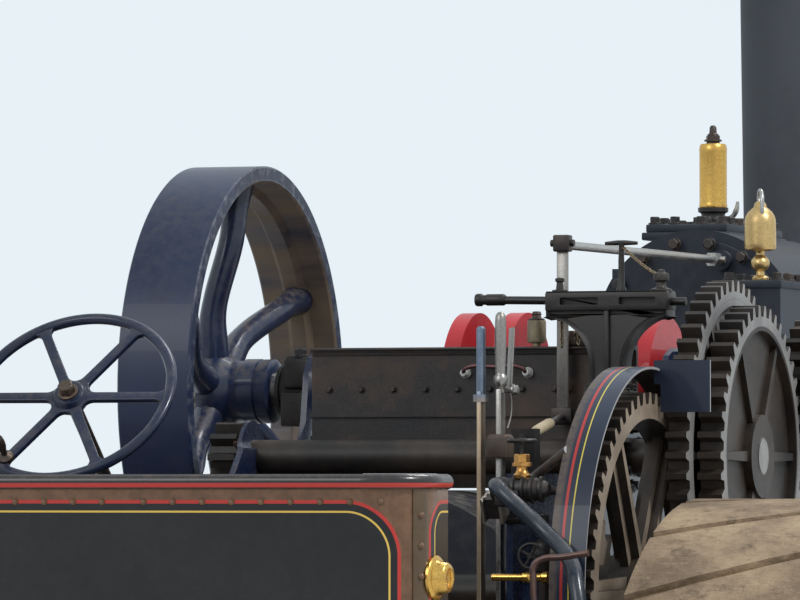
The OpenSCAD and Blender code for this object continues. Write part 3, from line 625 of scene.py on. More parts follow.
feed(shader, Base_Color=shade,
     Roughness=cloudy * 0.1 + 0.24 + grime * 0.4 + spoke_dust * 0.35 + (radius > 0.57) * 0.08,
     Coat_Weight=(1 - grime) * (1 - (radius > 0.57) * 0.7) * 0.25,
     Normal=bumped(place, fine * 0.5 + cloudy * 0.9, 0.3, 0.0012))
finish_piece(casting, fly_paint, "crankshaft", angle=40)
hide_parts("flywheel")

# Steering wheel: a cast iron wheel with six flat spokes, well rounded where they run into
# the rim and the hub, a hexagon nut, a turned spinner handle, and the column with its worm.
hub_at = centre_of["hand_wheel_turn"]
tilt = Matrix.Translation(hub_at) @ Matrix.Rotation(math.radians(130), 4, "Y")
half_spoke, hub_round, rim_inner, end_round, hub_out = 0.0125, 0.024, 0.247, 0.020, 0.074


def around(centre, radius, start, end, count):
    return [(centre[0] + radius * math.cos(start + (end - start) * k / count),
             centre[1] + radius * math.sin(start + (end - start) * k / count)) for k in range(count + 1)]


def wheel_window():
    """The outline of a window between two spokes: half of it, then its mirror image."""
    along, aside = Vector((math.cos(math.pi / 6), 0.5)), Vector((0.5, -math.cos(math.pi / 6)))
    reach = math.sqrt((rim_inner - end_round) ** 2 - (half_spoke + end_round) ** 2)
    outer = along * reach + aside * (half_spoke + end_round)
    turn = math.atan2(outer.y, outer.x)
    half = around((hub_out, 0), hub_round, math.pi, math.radians(120), 6)
    half += around(outer, end_round, math.radians(120), turn, 6)
    half += around((0, 0), rim_inner, turn, 0, 6)[1:]
    return half + [(x, -y) for x, y in reversed(half[1:-1])]


def solid_of(name, points, faces):
    """A closed solid from its points and faces, which it turns outward."""
    mesh = bpy.data.meshes.new(name)
    mesh.from_pydata(points, [], faces)
    return cleaned(new_object(name, mesh))


def prism(name, low, high):
    """A solid between two outlines with the same number of points."""
    count = len(low)
    faces = [list(range(count)), list(range(2 * count - 1, count - 1, -1))]
    faces += [[k, k + count, (k + 1) % count + count, (k + 1) % count] for k in range(count)]
    return solid_of(name, low + high, faces)


bpy.ops.mesh.primitive_cylinder_add(vertices=96, radius=0.257, depth=0.014, location=(0, 0, 0))
web = start_piece("wheel_web")
windows = []
for k in range(6):
    turn = Matrix.Rotation(math.radians(60 * k), 3, "Z")
    windows.append(prism("window", *([turn @ Vector((x, y, z)) for x, y in wheel_window()] for z in (-0.03, 0.03))))
cutter = joined(windows, "wheel_windows")
modified(web, "BOOLEAN", operation="DIFFERENCE", object=cutter, solver="EXACT")
bpy.data.objects.remove(cutter)
modified(web, "BEVEL", width=0.0028, segments=2, limit_method="ANGLE", angle_limit=math.radians(50))
clear_selection()
bpy.ops.mesh.primitive_torus_add(major_radius=0.256, minor_radius=0.0138, major_segments=96, minor_segments=14)
ring = start_piece("wheel_rim")
ring.data.transform(Matrix.Diagonal((1, 1, 0.95, 1)))
hub = turned("wheel_hub", [(0.0, -0.020), (0.036, -0.020), (0.040, -0.016), (0.044, -0.006), (0.052, 0.004),
                           (0.044, 0.012), (0.036, 0.024), (0.0, 0.024)], steps=36)
for piece in (web, ring, hub):
    piece.data.transform(tilt)
wheel = joined([web, ring, hub], "hand_wheel")
finish_piece(wheel, oil_paint("hand_wheel_navy", (0.009, 0.017, 0.044), gloss=0.24, coat=0.6, dusty=0.25, chips=0.8),
             "steering_wheel", angle=45)
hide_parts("steering_wheel")

nut = hex_bolt(0.036, 0.022)
nut.data.transform(tilt @ Matrix.Translation((0, 0, -0.020)) @ Matrix.Rotation(math.pi, 4, "X"))
handle = turned("spinner", [(0.0, 0.004), (0.017, 0.004), (0.019, 0.0), (0.019, -0.010), (0.013, -0.014),
                            (0.008, -0.018), (0.0085, -0.030), (0.0125, -0.045), (0.0135, -0.060), (0.012, -0.074),
                            (0.007, -0.084), (0.0, -0.086)])
handle.data.transform(tilt @ Matrix.Translation(on_ring("Z", (0, 0, -0.004), 0.228, math.radians(30))))
worm_at = (centre_of["drum_turn"].x - 0.010 - hub_at.x) / math.cos(math.radians(40))
column = turned("steering_column", [(0.0, 0.0), (0.0169, 0.0), (0.0169, worm_at - 0.060), (0.024, worm_at - 0.058),
                                    (0.029, worm_at - 0.050), (0.029, worm_at + 0.040), (0.024, worm_at + 0.048),
                                    (0.0169, worm_at + 0.050), (0.0169, worm_at + 0.125), (0.0, worm_at + 0.130)],
                steps=28)
column.data.transform(tilt)
fittings = joined([nut, handle, column], "steering_column")
finish_piece(fittings, oily_iron("handled_iron", (0.075, 0.060, 0.050), rusty=0.5, rough=0.35, metal=0.8),
             "steering_wheel", angle=45)

# Gear guard: rolled sheet over the third shaft's gear, with a red and a thin yellow line
# round it, and bare along its outer edge.
guard_paint, shader, place, facing = new_finish("guard_lined", 0.3)
cloudy = place.noise(2.6, 5.0, 0.6)
fine = place.noise(42.0, 6.0, 0.65)
y = place.part("Y")
tone = cloudy.mottle((0.008, 0.013, 0.028), (0.016, 0.026, 0.052))
faded = y.steps(-0.664, -0.652)
tone = (faded * fine.steps(0.2, 0.6)).blend(tone, (0.10, 0.075, 0.060))
off_x, off_z, radius = place.off_axis(third_at)
red_line = abs(y + 0.670) < 0.0035
yellow_line = abs(y + 0.688) < 0.0016
edge = facing.part("Y") < -0.6
shade = edge.blend(yellow_line.blend(red_line.blend(tone, (0.42, 0.035, 0.030)), (0.62, 0.50, 0.08)),
                   (0.34, 0.34, 0.34))
inside = (off_x * facing.part("X") + off_z * facing.part("Z") < -0.2) * (radius < 0.5715)
shade = (inside * 0.9).blend(shade, (0.035, 0.026, 0.020))
feed(shader, Base_Color=shade,
     Roughness=cloudy * 0.12 + 0.34 + inside * 0.3 + faded * 0.2,
     Coat_Weight=(1 - inside) * 0.2,
     Normal=bumped(place, fine * 0.4 + cloudy * 0.9, 0.25, 0.0012))
dress(guard_paint, "gear_guard")

# Tender's corner work: riveted strips down the rounded corners, snap-head rivets round the
# panels, and a brass filler ring beside the strip on the right.
rivet_outline = [(0.0, 0.0075), (0.003, 0.0070), (0.0056, 0.0052), (0.0072, 0.0026), (0.0078, 0.0), (0.0, 0.0)]


def round_tender(u, z, out=0.0, side=1):
    """A point and its outward direction at a distance u round the tender from its back's middle."""
    if u < flat_half:
        return Vector((tender_back - out, side * u, z)), Vector((-1, 0, 0))
    turn = min((u - flat_half) / corner_r, math.pi / 2)
    on = max(0.0, u - flat_half - corner_r * math.pi / 2)
    way = Vector((-math.cos(turn), side * math.sin(turn), 0))
    centre = Vector((tender_back + corner_r, side * flat_half, z))
    return centre + way * (corner_r + out) + Vector((on, 0, 0)), way


spots = []
for side in (-1, 1):
    spots += [stand(*round_tender(0.705, 1.945 - 0.068 * k, 0.0035, side)) for k in range(14)]
    spots += [stand(*round_tender(0.05 + 0.07 * k, z, 0.0, side)) for k in range(9) for z in (1.974, 1.02)]
    spots += [stand(*round_tender(0.80 + 0.10 * k, 1.02, 0.0, side)) for k in range(7)]
tender_rivets = set_out(turned("rivet", rivet_outline, steps=12), spots, "tender_rivets")
rivet_brown = oil_paint("rivet_brown", (0.17, 0.090, 0.046), gloss=0.25, coat=0.5, dusty=0.4)
finish_piece(tender_rivets, rivet_brown, "root", angle=60)

strips = []
across = [strip_in + (strip_out - strip_in) * k / 4 for k in range(5)]
for side in (-1, 1):
    points = [round_tender(u, z, out, side)[0] for z in (0.985, 2.002) for out in (-0.002, 0.0035) for u in across]
    faces = [[0, 5, 15, 10], [4, 14, 19, 9]]
    for k in range(4):
        faces += [[k, k + 1, k + 6, k + 5], [10 + k, 15 + k, 16 + k, 11 + k],
                  [k + 5, k + 6, k + 16, k + 15], [k, k + 10, k + 11, k + 1]]
    strips.append(modified(solid_of("strip", points, faces), "BEVEL", width=0.0012, segments=2))
corner_strips = joined(strips, "tender_corner_strips")
finish_piece(corner_strips, oil_paint("strip_brown", (0.10, 0.062, 0.030), gloss=0.22, coat=0.6, dusty=0.35), "root")

point, way = round_tender(0.762, 1.805, 0.0, -1)
filler = turned("tender_filler", [(0.0, -0.002), (0.050, -0.002), (0.050, 0.004), (0.046, 0.008), (0.040, 0.009),
                                  (0.036, 0.018), (0.034, 0.030), (0.030, 0.034), (0.022, 0.035), (0.020, 0.030),
                                  (0.0, 0.028)], steps=40)
filler.data.transform(stand(point, way))
finish_piece(filler, brass, "root", angle=40)

# Cross plate's bolts: black hexagon heads in rows across its rear face, each turned a
# little differently.
spots = [stand((-0.7205, -0.44 + 0.088 * k, z), (-1, 0, 0), random.random()) for k in range(10)
         for z in (2.262, 2.100)]
plate_bolts = set_out(hex_bolt(0.014, 0.009), spots, "plate_bolts")
finish_piece(plate_bolts, dark_iron, "root")

# Reversing lever: a turned handle over a collar, a flat bar, a latch box that runs on the
# quadrant, and a thin squeeze lever with its spring wire.
def block(name, low, high, rounded, segments=2):
    """A block between two corners with its edges rounded."""
    clear_selection()
    bpy.ops.mesh.primitive_cube_add(size=1, location=[(a + b) / 2 for a, b in zip(low, high)])
    bpy.context.object.scale = [b - a for a, b in zip(low, high)]
    piece = start_piece(name)
    return modified(piece, "BEVEL", width=rounded, segments=segments)


def pivot_eye(name, centre):
    """The ring round a lever's pivot."""
    return turned(name, [(0.0151, -0.009), (0.030, -0.009), (0.032, -0.007), (0.032, 0.007), (0.030, 0.009),
                         (0.0151, 0.009)], centre, (0, 1, 0), 32)


pin = centre_of["reversing_lever_swing"]
lever_mid = pin.y + 0.007
grip = turned("lever_grip", [(0.0, 2.433), (0.007, 2.431), (0.012, 2.424), (0.0138, 2.410), (0.0142, 2.340),
                             (0.0125, 2.285), (0.0125, 2.280), (0.0165, 2.276), (0.0170, 2.266), (0.0165, 2.256),
                             (0.0120, 2.250), (0.0110, 2.236), (0.0, 2.236)], (pin.x, lever_mid, 0), steps=28)
flat = block("lever_flat", (pin.x - 0.019, lever_mid - 0.0065, pin.z + 0.028),
             (pin.x + 0.019, lever_mid + 0.0065, 2.245), 0.002)
eye = pivot_eye("lever_eye", (pin.x, lever_mid, pin.z))
squeeze = block("squeeze", (-0.011, -0.0022, 0.0), (0.011, 0.0022, 0.150), 0.001)
in_edit(squeeze, lambda face: face.normal.z > 0.9, lambda: bpy.ops.transform.resize(value=(1.3, 1, 1)))
lean = Matrix.Rotation(math.radians(9), 4, "Y") @ Matrix.Rotation(math.radians(50), 4, "Z")
squeeze.data.transform(Matrix.Translation((pin.x + 0.030, lever_mid - 0.012, 2.247)) @ lean)
knuckle_at = (pin.x + 0.020, lever_mid - 0.026, 2.243)
knuckle = tube("knuckle", [knuckle_at, (pin.x + 0.020, lever_mid + 0.010, 2.243)], 0.0075, smooth=False)
knuckle_nut = hex_bolt(0.020, 0.010)
knuckle_nut.data.transform(stand(knuckle_at, (0, -1, 0)))
wire = tube("latch_wire", [(pin.x + 0.036, lever_mid - 0.013, 2.236), (pin.x + 0.042, lever_mid - 0.014, 2.208),
                           (pin.x + 0.036, lever_mid - 0.014, 2.180), (pin.x + 0.016, lever_mid - 0.012, 2.150)],
            0.0022, sides=8)
lever_iron = oily_iron("handled_steel", (0.30, 0.285, 0.265), rust=(0.16, 0.11, 0.08), rusty=0.5, rough=0.30,
                       metal=0.9)
lever = joined([grip, flat, eye, squeeze, knuckle, knuckle_nut, wire], "reversing_lever_forging")
finish_piece(lever, lever_iron, "reversing_lever", angle=45)
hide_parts("reversing_lever")
latch = block("lever_latch_box", (pin.x - 0.040, pin.y - 0.020, 2.078), (pin.x + 0.026, pin.y + 0.030, 2.130), 0.0035)
raise_top(latch, 0.006, 0.004)
finish_piece(latch, oil_paint("latch_brown", (0.085, 0.060, 0.045), gloss=0.4, coat=0.1, dusty=0.6),
             "reversing_lever")

# Gear lever: a flat strap with a rounded thin grip, blued at the top and rubbed below.
pin = centre_of["gear_lever_swing"]
lever_mid = pin.y + 0.007
strap = block("gear_strap", (pin.x - 0.018, lever_mid - 0.006, pin.z + 0.028),
              (pin.x + 0.018, lever_mid + 0.006, 2.24), 0.002)
blade = block("gear_blade", (pin.x - 0.013, lever_mid - 0.010, 2.225), (pin.x + 0.013, lever_mid + 0.010, 2.398),
              0.0085, 4)
eye = pivot_eye("gear_eye", (pin.x, lever_mid, pin.z))
collar = tube("gear_collar", [(pin.x, lever_mid, 2.214), (pin.x, lever_mid, 2.232)], 0.0195, sides=20, smooth=False)
lever = joined([strap, blade, eye, collar], "gear_lever_forging")
strap_steel, shader, place, facing = new_finish("strap_steel")
grain = place.noise(130.0, 3.0, 0.5)
patch = place.noise(11.0, 6.0, 0.65)
height = place.part("Z").steps(2.20, 2.24)
rubbed = patch.mottle((0.30, 0.22, 0.15), (0.44, 0.34, 0.24))
blued = patch.mottle((0.10, 0.13, 0.19), (0.22, 0.27, 0.34))
feed(shader, Base_Color=height.blend(rubbed, blued),
     Metallic=0.75,
     Roughness=grain * 0.15 + 0.28 + patch * 0.1,
     Normal=bumped(place, grain * 0.3 + patch * 0.5, 0.25, 0.001))
finish_piece(lever, strap_steel, "gear_lever", angle=45)
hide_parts("gear_lever")

# Quadrant: two toothed arcs with worn bright edges, side by side, struck round the gear
# lever's pivot.
pin = centre_of["gear_lever_swing"]
arc_outline = []
for k in range(57):
    reach = 0.446 if k % 4 == 3 else 0.456 if k % 2 == 0 else 0.4545
    arc_outline.append(on_ring("Z", (0, 0), reach, math.radians(66 + 48 * k / 56)))
arc_outline += around((0, 0), 0.392, math.radians(114), math.radians(66), 28)
arcs = []
for sides in ((-0.4915, -0.4845), (-0.4455, -0.4400)):
    arc = prism("arc", *([(pin.x + x, y, pin.z + z) for x, z in arc_outline] for y in sides))
    arcs.append(modified(arc, "BEVEL", width=0.0008, segments=1, limit_method="ANGLE", angle_limit=math.radians(40)))
quadrant = joined(arcs, "lever_quadrant")
finish_piece(quadrant, oily_iron("worn_quadrant", (0.34, 0.30, 0.26), rust=(0.10, 0.075, 0.055), rusty=0.8,
                                 rough=0.35, metal=0.8), "root")

# Safety valve: a polished brass column on a black flanged seat, with a black spindle, its
# nut, and the small bright easing lever behind it.
seat = (1.495, -0.045)
column = turned("valve_column", [(0.0, 2.822), (0.0405, 2.822), (0.0415, 2.826), (0.0405, 2.832), (0.0400, 2.838),
                                 (0.0400, 2.985), (0.0408, 2.990), (0.0400, 2.996), (0.0385, 3.004), (0.036, 3.008),
                                 (0.0, 3.008)], (*seat, 0), steps=48)
finish_piece(column, brass, "root", angle=40)
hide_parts("safety_valve")
base = turned("valve_base", [(0.0, 2.762), (0.060, 2.762), (0.062, 2.765), (0.062, 2.775), (0.060, 2.778),
                             (0.046, 2.780), (0.038, 2.786), (0.034, 2.798), (0.036, 2.806), (0.044, 2.810),
                             (0.0445, 2.822), (0.0, 2.824)], (*seat, 0), steps=40)
top = turned("valve_spindle", [(0.0, 3.004), (0.020, 3.004), (0.021, 3.008), (0.018, 3.016), (0.0165, 3.030),
                               (0.0165, 3.036), (0.011, 3.040), (0.010, 3.056), (0.006, 3.062), (0.0, 3.063)],
             (*seat, 0))
cap_nut = hex_bolt(0.036, 0.012)
cap_nut.data.transform(Matrix.Translation((*seat, 3.018)))
stud_spots = [stand(on_ring("Z", (*seat, 2.779), 0.049, math.radians(60 * k)), (0, 0, 1), 0.4 * k) for k in range(6)]
studs = set_out(hex_bolt(0.020, 0.012), stud_spots, "valve_studs")
fittings = joined([base, top, cap_nut, studs], "valve_fittings")
finish_piece(fittings, dark_iron, "root", angle=45)
easing = tube("easing_lever", [(1.485, -0.086, 2.790), (1.485, -0.104, 2.794), (1.483, -0.118, 2.812),
                               (1.480, -0.124, 2.838)], 0.007, sides=12, radii=[0.8, 1, 1.2, 0.7])
finish_piece(easing, bright_steel, "root", angle=60)

# Displacement lubricator: a spun brass bottle on its turned stem, and a thin bent handle
# over its top.
spot = (0.835, -0.374)
bottle = turned("lubricator_bottle", [(0.0, 2.662), (0.012, 2.662), (0.014, 2.668), (0.030, 2.670), (0.042, 2.673),
                                      (0.0445, 2.678), (0.0445, 2.690), (0.0440, 2.745), (0.0435, 2.756),
                                      (0.040, 2.768), (0.033, 2.779), (0.024, 2.787), (0.018, 2.792), (0.016, 2.802),
                                      (0.010, 2.808), (0.0, 2.810)], (*spot, 0), steps=44)
stem = turned("lubricator_stem", [(0.0, 2.580), (0.022, 2.580), (0.024, 2.583), (0.024, 2.594), (0.020, 2.598),
                                  (0.012, 2.602), (0.011, 2.612), (0.020, 2.618), (0.026, 2.630), (0.026, 2.642),
                                  (0.018, 2.652), (0.012, 2.658), (0.012, 2.664), (0.0, 2.664)], (*spot, 0), steps=32)
bottle = joined([bottle, stem], "lubricator_bottle")
finish_piece(bottle, oily_iron("pale_brass", (0.60, 0.42, 0.18), rust=(0.30, 0.20, 0.09), rusty=0.5, rough=0.34,
                               metal=0.95), "root", angle=40)
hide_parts("lubricator")
bail = tube("lubricator_bail", [(0.812, -0.386, 2.735), (0.805, -0.388, 2.790), (0.815, -0.384, 2.830),
                                (0.832, -0.374, 2.838), (0.842, -0.368, 2.822), (0.838, -0.372, 2.800)], 0.0058,
            sides=12)
finish_piece(bail, bright_steel, "root", angle=60)

# Regulator rods: a flat standard with a forked head, the long polished rod with its jaw at
# the gland, the lower rod with a cream sleeve, and the sliding bar for the gears.
standard = block("rod_standard", (-0.770, -0.315, 2.178), (-0.760, -0.285, 2.628), 0.002)
in_edit(standard, lambda face: face.normal.z < -0.9, lambda: bpy.ops.transform.resize(value=(1, 0.75, 1)))
fork = block("rod_fork", (-0.785, -0.322, 2.612), (-0.748, -0.279, 2.655), 0.004)
fork_pin = tube("fork_pin", [(-0.766, -0.332, 2.634), (-0.766, -0.269, 2.634)], 0.009, smooth=False)
foot = block("rod_foot", (-0.786, -0.330, 2.168), (-0.748, -0.272, 2.212), 0.006)
stub = tube("rod_stub", [(-0.763, -0.300, 2.262), (-0.7195, -0.300, 2.262)], 0.0115, smooth=False)
dark_rods = joined([fork, fork_pin, foot, stub], "rod_joints")
finish_piece(dark_rods, dark_iron, "root", angle=45)
finish_piece(standard, lever_iron, "root")
gland = Vector((0.978, -0.217, 2.650))
start = Vector((-0.752, -0.300, 2.630))
way = (gland - start).normalized()
long_rod = tube("regulator_rod", [start, gland], 0.0115, sides=24, smooth=False)
jaw = tube("rod_jaw", [gland - way * 0.115, gland - way * 0.045], 0.021, sides=8, smooth=False)
jaw_pin = tube("jaw_pin", [gland - way * 0.065 + Vector((0, -0.030, 0)), gland - way * 0.065 + Vector((0, 0.030, 0))],
               0.009, smooth=False)
rods = joined([long_rod, jaw, jaw_pin], "regulator_rod")
finish_piece(rods, bright_steel, "root", angle=50)
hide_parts("regulator_rods")
low_end, high_end = Vector((-1.5278, -0.440, 2.125)), Vector((-0.770, -0.300, 2.190))
lower = tube("lower_rod", [low_end, high_end], 0.0085, sides=16, smooth=False)
finish_piece(lower, bright_steel, "root", angle=50)
step = high_end - low_end
sleeve = turned("rod_sleeve", [(0.0086, 0.0), (0.013, 0.002), (0.0142, 0.03), (0.0142, 0.26), (0.013, 0.285),
                               (0.0086, 0.29)])
sleeve.data.transform(stand(low_end + step * 0.30, step))
finish_piece(sleeve, oil_paint("cream_sleeve", (0.50, 0.42, 0.28), gloss=0.4, coat=0.2, dusty=0.5), "root")
slide = tube("shift_bar", [(-0.865, -0.098, 2.487), (-0.865, -0.660, 2.478)], 0.0105, sides=20, smooth=False)
knob = turned("shift_knob", [(0.0, 0.0), (0.015, 0.001), (0.0165, 0.006), (0.0165, 0.016), (0.013, 0.020),
                             (0.0125, 0.026), (0.0150, 0.032), (0.0150, 0.076), (0.0125, 0.080), (0.0, 0.080)])
knob.data.transform(stand((-0.865, -0.098, 2.487), (0, -1, 0)))
slide = joined([slide, knob], "shift_bar")
finish_piece(slide, dark_iron, "root", angle=50)

# Feed pipe, its ribbed clack box with a brass stop valve, a small black valve beside the
# footplate, and a bent handle in front of them.
feed_pipe = tube("feed_pipe", [(-1.868, -0.487, 2.006), (-1.900, -0.492, 2.010), (-1.922, -0.520, 1.990),
                               (-1.932, -0.620, 1.905), (-1.980, -0.702, 1.834), (-2.030, -0.738, 1.741),
                               (-2.052, -0.774, 1.560), (-2.055, -0.782, 1.400), (-2.105, -0.779, 1.150),
                               (-2.186, -0.776, 1.092), (-2.190, -0.715, 1.090)], 0.0195, sides=24)
finish_piece(feed_pipe, oil_paint("pipe_steel_blue", (0.030, 0.040, 0.056), gloss=0.20, coat=0.6, dusty=0.35), "root",
             angle=60)
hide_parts("water_pipes")
body = turned("clack_body", [(0.0, 0.470), (0.024, 0.470), (0.029, 0.476), (0.030, 0.500), (0.026, 0.510),
                             (0.030, 0.522), (0.037, 0.525), (0.037, 0.531), (0.030, 0.534), (0.030, 0.545),
                             (0.037, 0.548), (0.037, 0.554), (0.030, 0.557), (0.029, 0.566), (0.035, 0.569),
                             (0.035, 0.575), (0.028, 0.578), (0.026, 0.588), (0.031, 0.591), (0.031, 0.597),
                             (0.022, 0.600), (0.017, 0.612), (0.0, 0.616)], (-1.860, 0, 2.002), (0, -1, 0), 32)
lug = block("clack_lug", (-1.900, -0.546, 1.960), (-1.830, -0.486, 2.000), 0.005)
tail = tube("clack_tail", [(-1.860, -0.610, 2.002), (-1.840, -0.622, 1.998), (-1.640, -0.624, 2.000),
                           (-1.200, -0.618, 2.004), (-1.100, -0.560, 2.000), (-1.100, -0.485, 2.000)], 0.011,
            sides=16)
clack = joined([body, lug, tail], "clack_box")
finish_piece(clack, dark_iron, "root", angle=45)
stop = (-1.860, -0.544)
valve = turned("stop_valve", [(0.0, 2.028), (0.021, 2.028), (0.022, 2.036), (0.016, 2.042), (0.0125, 2.050),
                              (0.0125, 2.056), (0.017, 2.060), (0.017, 2.062), (0.013, 2.064), (0.013, 2.086),
                              (0.0, 2.086)], (*stop, 0), steps=28)
valve_nut = hex_bolt(0.033, 0.020)
valve_nut.data.transform(Matrix.Translation((*stop, 2.061)) @ Matrix.Rotation(0.35, 4, "Z"))
valve = joined([valve, valve_nut], "stop_valve")
finish_piece(valve, oily_iron("copper_brass", (0.55, 0.28, 0.08), rust=(0.20, 0.12, 0.06), rusty=0.5, rough=0.3,
                              metal=0.95), "root", angle=40)


def small_wheel(name, radius, thick, spokes):
    """A little handwheel lying in XY round the origin."""
    clear_selection()
    bpy.ops.mesh.primitive_torus_add(major_radius=radius - thick, minor_radius=thick, major_segments=36,
                                     minor_segments=10)
    ring = start_piece("ring")
    arms = [tube("arm", [(0, 0, 0), on_ring("Z", (0, 0, 0), radius - thick, math.tau * k / spokes)], thick * 0.8,
                 sides=8, smooth=False) for k in range(spokes)]
    boss = turned("wheel_boss", [(0.0, -thick * 1.3), (thick * 1.8, -thick * 1.3), (thick * 2.0, 0.0),
                                 (thick * 1.8, thick * 1.3), (0.0, thick * 1.5)], steps=20)
    return joined([ring, *arms, boss], name)


top_wheel = small_wheel("stop_valve_wheel", 0.037, 0.0055, 4)
top_wheel.data.transform(Matrix.Translation((*stop, 2.118)))
stem = tube("stop_stem", [(*stop, 2.080), (*stop, 2.134)], 0.0052, smooth=False)
drain_x, drain_y, drain_z = -1.800, -0.580, 1.843
side_wheel = small_wheel("drain_wheel", 0.0335, 0.0042, 4)
on_side = Matrix.Rotation(math.radians(90), 4, "Y") @ Matrix.Rotation(0.5, 4, "Z")
side_wheel.data.transform(Matrix.Translation((-1.905, drain_y, drain_z)) @ on_side)
side_stem = tube("drain_stem", [(-1.912, drain_y, drain_z), (drain_x, drain_y, drain_z)], 0.006, smooth=False)
side_body = turned("drain_body", [(0.0, 1.700), (0.014, 1.700), (0.014, 1.800), (0.024, 1.806), (0.027, 1.820),
                                  (0.027, 1.868), (0.022, 1.878), (0.014, 1.884), (0.014, 1.940), (0.0, 1.940)],
                   (drain_x, drain_y, 0))
side_foot = tube("drain_foot", [(drain_x, drain_y, 1.930), (drain_x, -0.484, 1.930)], 0.012, smooth=False)
low_foot = tube("drain_low_foot", [(drain_x, drain_y, 1.712), (drain_x, -0.484, 1.712)], 0.012, smooth=False)
wheels = joined([top_wheel, stem, side_wheel, side_stem, side_body, side_foot, low_foot], "valve_wheels")
finish_piece(wheels, dark_iron, "root", angle=45)
bent = tube("bent_handle", [(-2.046, -0.768, 1.852), (-2.044, -0.700, 1.842), (-2.040, -0.655, 1.838),
                            (-2.040, -0.632, 1.822), (-2.040, -0.630, 1.790), (-2.040, -0.630, 1.640),
                            (-2.030, -0.600, 1.590), (-1.980, -0.540, 1.570), (-1.950, -0.486, 1.568)], 0.0082,
            sides=16)
finish_piece(bent, oily_iron("reddish_iron", (0.12, 0.075, 0.065), rust=(0.22, 0.10, 0.07), rusty=0.6, rough=0.35,
                             metal=0.7), "root", angle=60)
union = turned("brass_union", [(0.0, 0.484), (0.0085, 0.484), (0.0085, 0.560), (0.0125, 0.562), (0.0135, 0.572),
                               (0.0125, 0.580), (0.0100, 0.584), (0.0100, 0.606), (0.0140, 0.610), (0.0140, 0.624),
                               (0.0, 0.628)], (-1.905, 0, 1.792), (0, -1, 0), 24)
finish_piece(union, brass, "root", angle=40)

# Gear-change bracket: an iron casting with a slotted table, a waisted stem with a rib down
# its recessed face, oil cups on the table's ends, and a T-handle with its keeper chain.
middle_y, front_x, back_x = -0.459, -0.905, -0.825
spindle_x, cup_x = -0.835, -0.865
profile = [(-0.044, 2.230), (0.044, 2.230), (0.044, 2.3188)]
profile += around((0.168, 2.316), 0.124, math.radians(174), math.radians(90), 12)
profile += [(0.160, 2.441), (0.160, 2.506), (-0.160, 2.506), (-0.160, 2.441)]
profile += around((-0.168, 2.316), 0.124, math.radians(90), math.radians(6), 12)
profile += [(-0.044, 2.3188)]
bracket = prism("bracket", *([(x, middle_y + y, z) for y, z in profile] for x in (front_x, back_x)))
cleaned(bracket, 0.0005)
in_edit(bracket, lambda face: abs(face.normal.x) > 0.9, lambda: bpy.ops.mesh.inset(thickness=0.011),
        lambda: bpy.ops.transform.shrink_fatten(value=-0.012))
modified(bracket, "BEVEL", width=0.003, segments=2, limit_method="ANGLE", angle_limit=math.radians(45))
rib = block("bracket_rib", (front_x + 0.002, middle_y - 0.007, 2.250), (back_x - 0.002, middle_y + 0.007, 2.462),
            0.003)
table = block("bracket_table", (front_x - 0.003, middle_y - 0.162, 2.456), (back_x + 0.003, middle_y + 0.162, 2.503),
              0.004)
slots = joined([block("slot", (front_x - 0.03, middle_y + low, 2.471), (back_x + 0.03, middle_y + high, 2.490), 0.004)
                for low, high in ((-0.132, -0.035), (0.020, 0.122))], "slots")
modified(table, "BOOLEAN", operation="DIFFERENCE", object=slots, solver="EXACT")
bpy.data.objects.remove(slots)
pad = block("bracket_pad", (-0.912, middle_y - 0.059, 2.2305), (-0.818, middle_y + 0.059, 2.253), 0.004)
pad_spots = [stand((x, middle_y + y, 2.255), (0, 0, 1), 0.3) for x in (-0.895, -0.835) for y in (-0.046, 0.046)]
pad_bolts = set_out(hex_bolt(0.020, 0.012), pad_spots, "pad_bolts")
spindle = turned("t_spindle", [(0.0, 2.504), (0.0125, 2.504), (0.013, 2.512), (0.009, 2.520), (0.0078, 2.560),
                               (0.0078, 2.585), (0.0062, 2.620), (0.0085, 2.626), (0.0085, 2.634), (0.0, 2.637)],
                 (spindle_x, middle_y - 0.020, 0), steps=20)
crossbar = tube("t_bar", [(spindle_x, middle_y - 0.063, 2.629), (spindle_x, middle_y - 0.030, 2.630),
                          (spindle_x, middle_y - 0.010, 2.630), (spindle_x, middle_y + 0.023, 2.629)], 0.0055,
                sides=12, radii=[0.8, 1.25, 1.25, 0.8])
right_cup = turned("right_cup", [(0.0, 2.500), (0.026, 2.500), (0.028, 2.503), (0.027, 2.510), (0.015, 2.514),
                                 (0.012, 2.520), (0.012, 2.528), (0.019, 2.532), (0.0205, 2.542), (0.018, 2.550),
                                 (0.010, 2.553), (0.009, 2.559), (0.0, 2.561)], (cup_x, middle_y - 0.135, 0),
                   steps=28)
left_lug = turned("left_lug", [(0.0, 2.502), (0.020, 2.502), (0.020, 2.510), (0.010, 2.512), (0.008, 2.530),
                               (0.012, 2.533), (0.012, 2.540), (0.0, 2.543)], (cup_x, middle_y + 0.135, 0), steps=20)
bracket = joined([bracket, rib, table, pad, pad_bolts, spindle, crossbar, right_cup, left_lug],
                 "gear_bracket_casting")
bracket_black = oily_iron("bracket_black", (0.036, 0.033, 0.031), rust=(0.10, 0.075, 0.058), rusty=0.5, rough=0.45,
                          metal=0.5)
finish_piece(bracket, bracket_black, "root", angle=40)
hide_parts("gear_bracket")


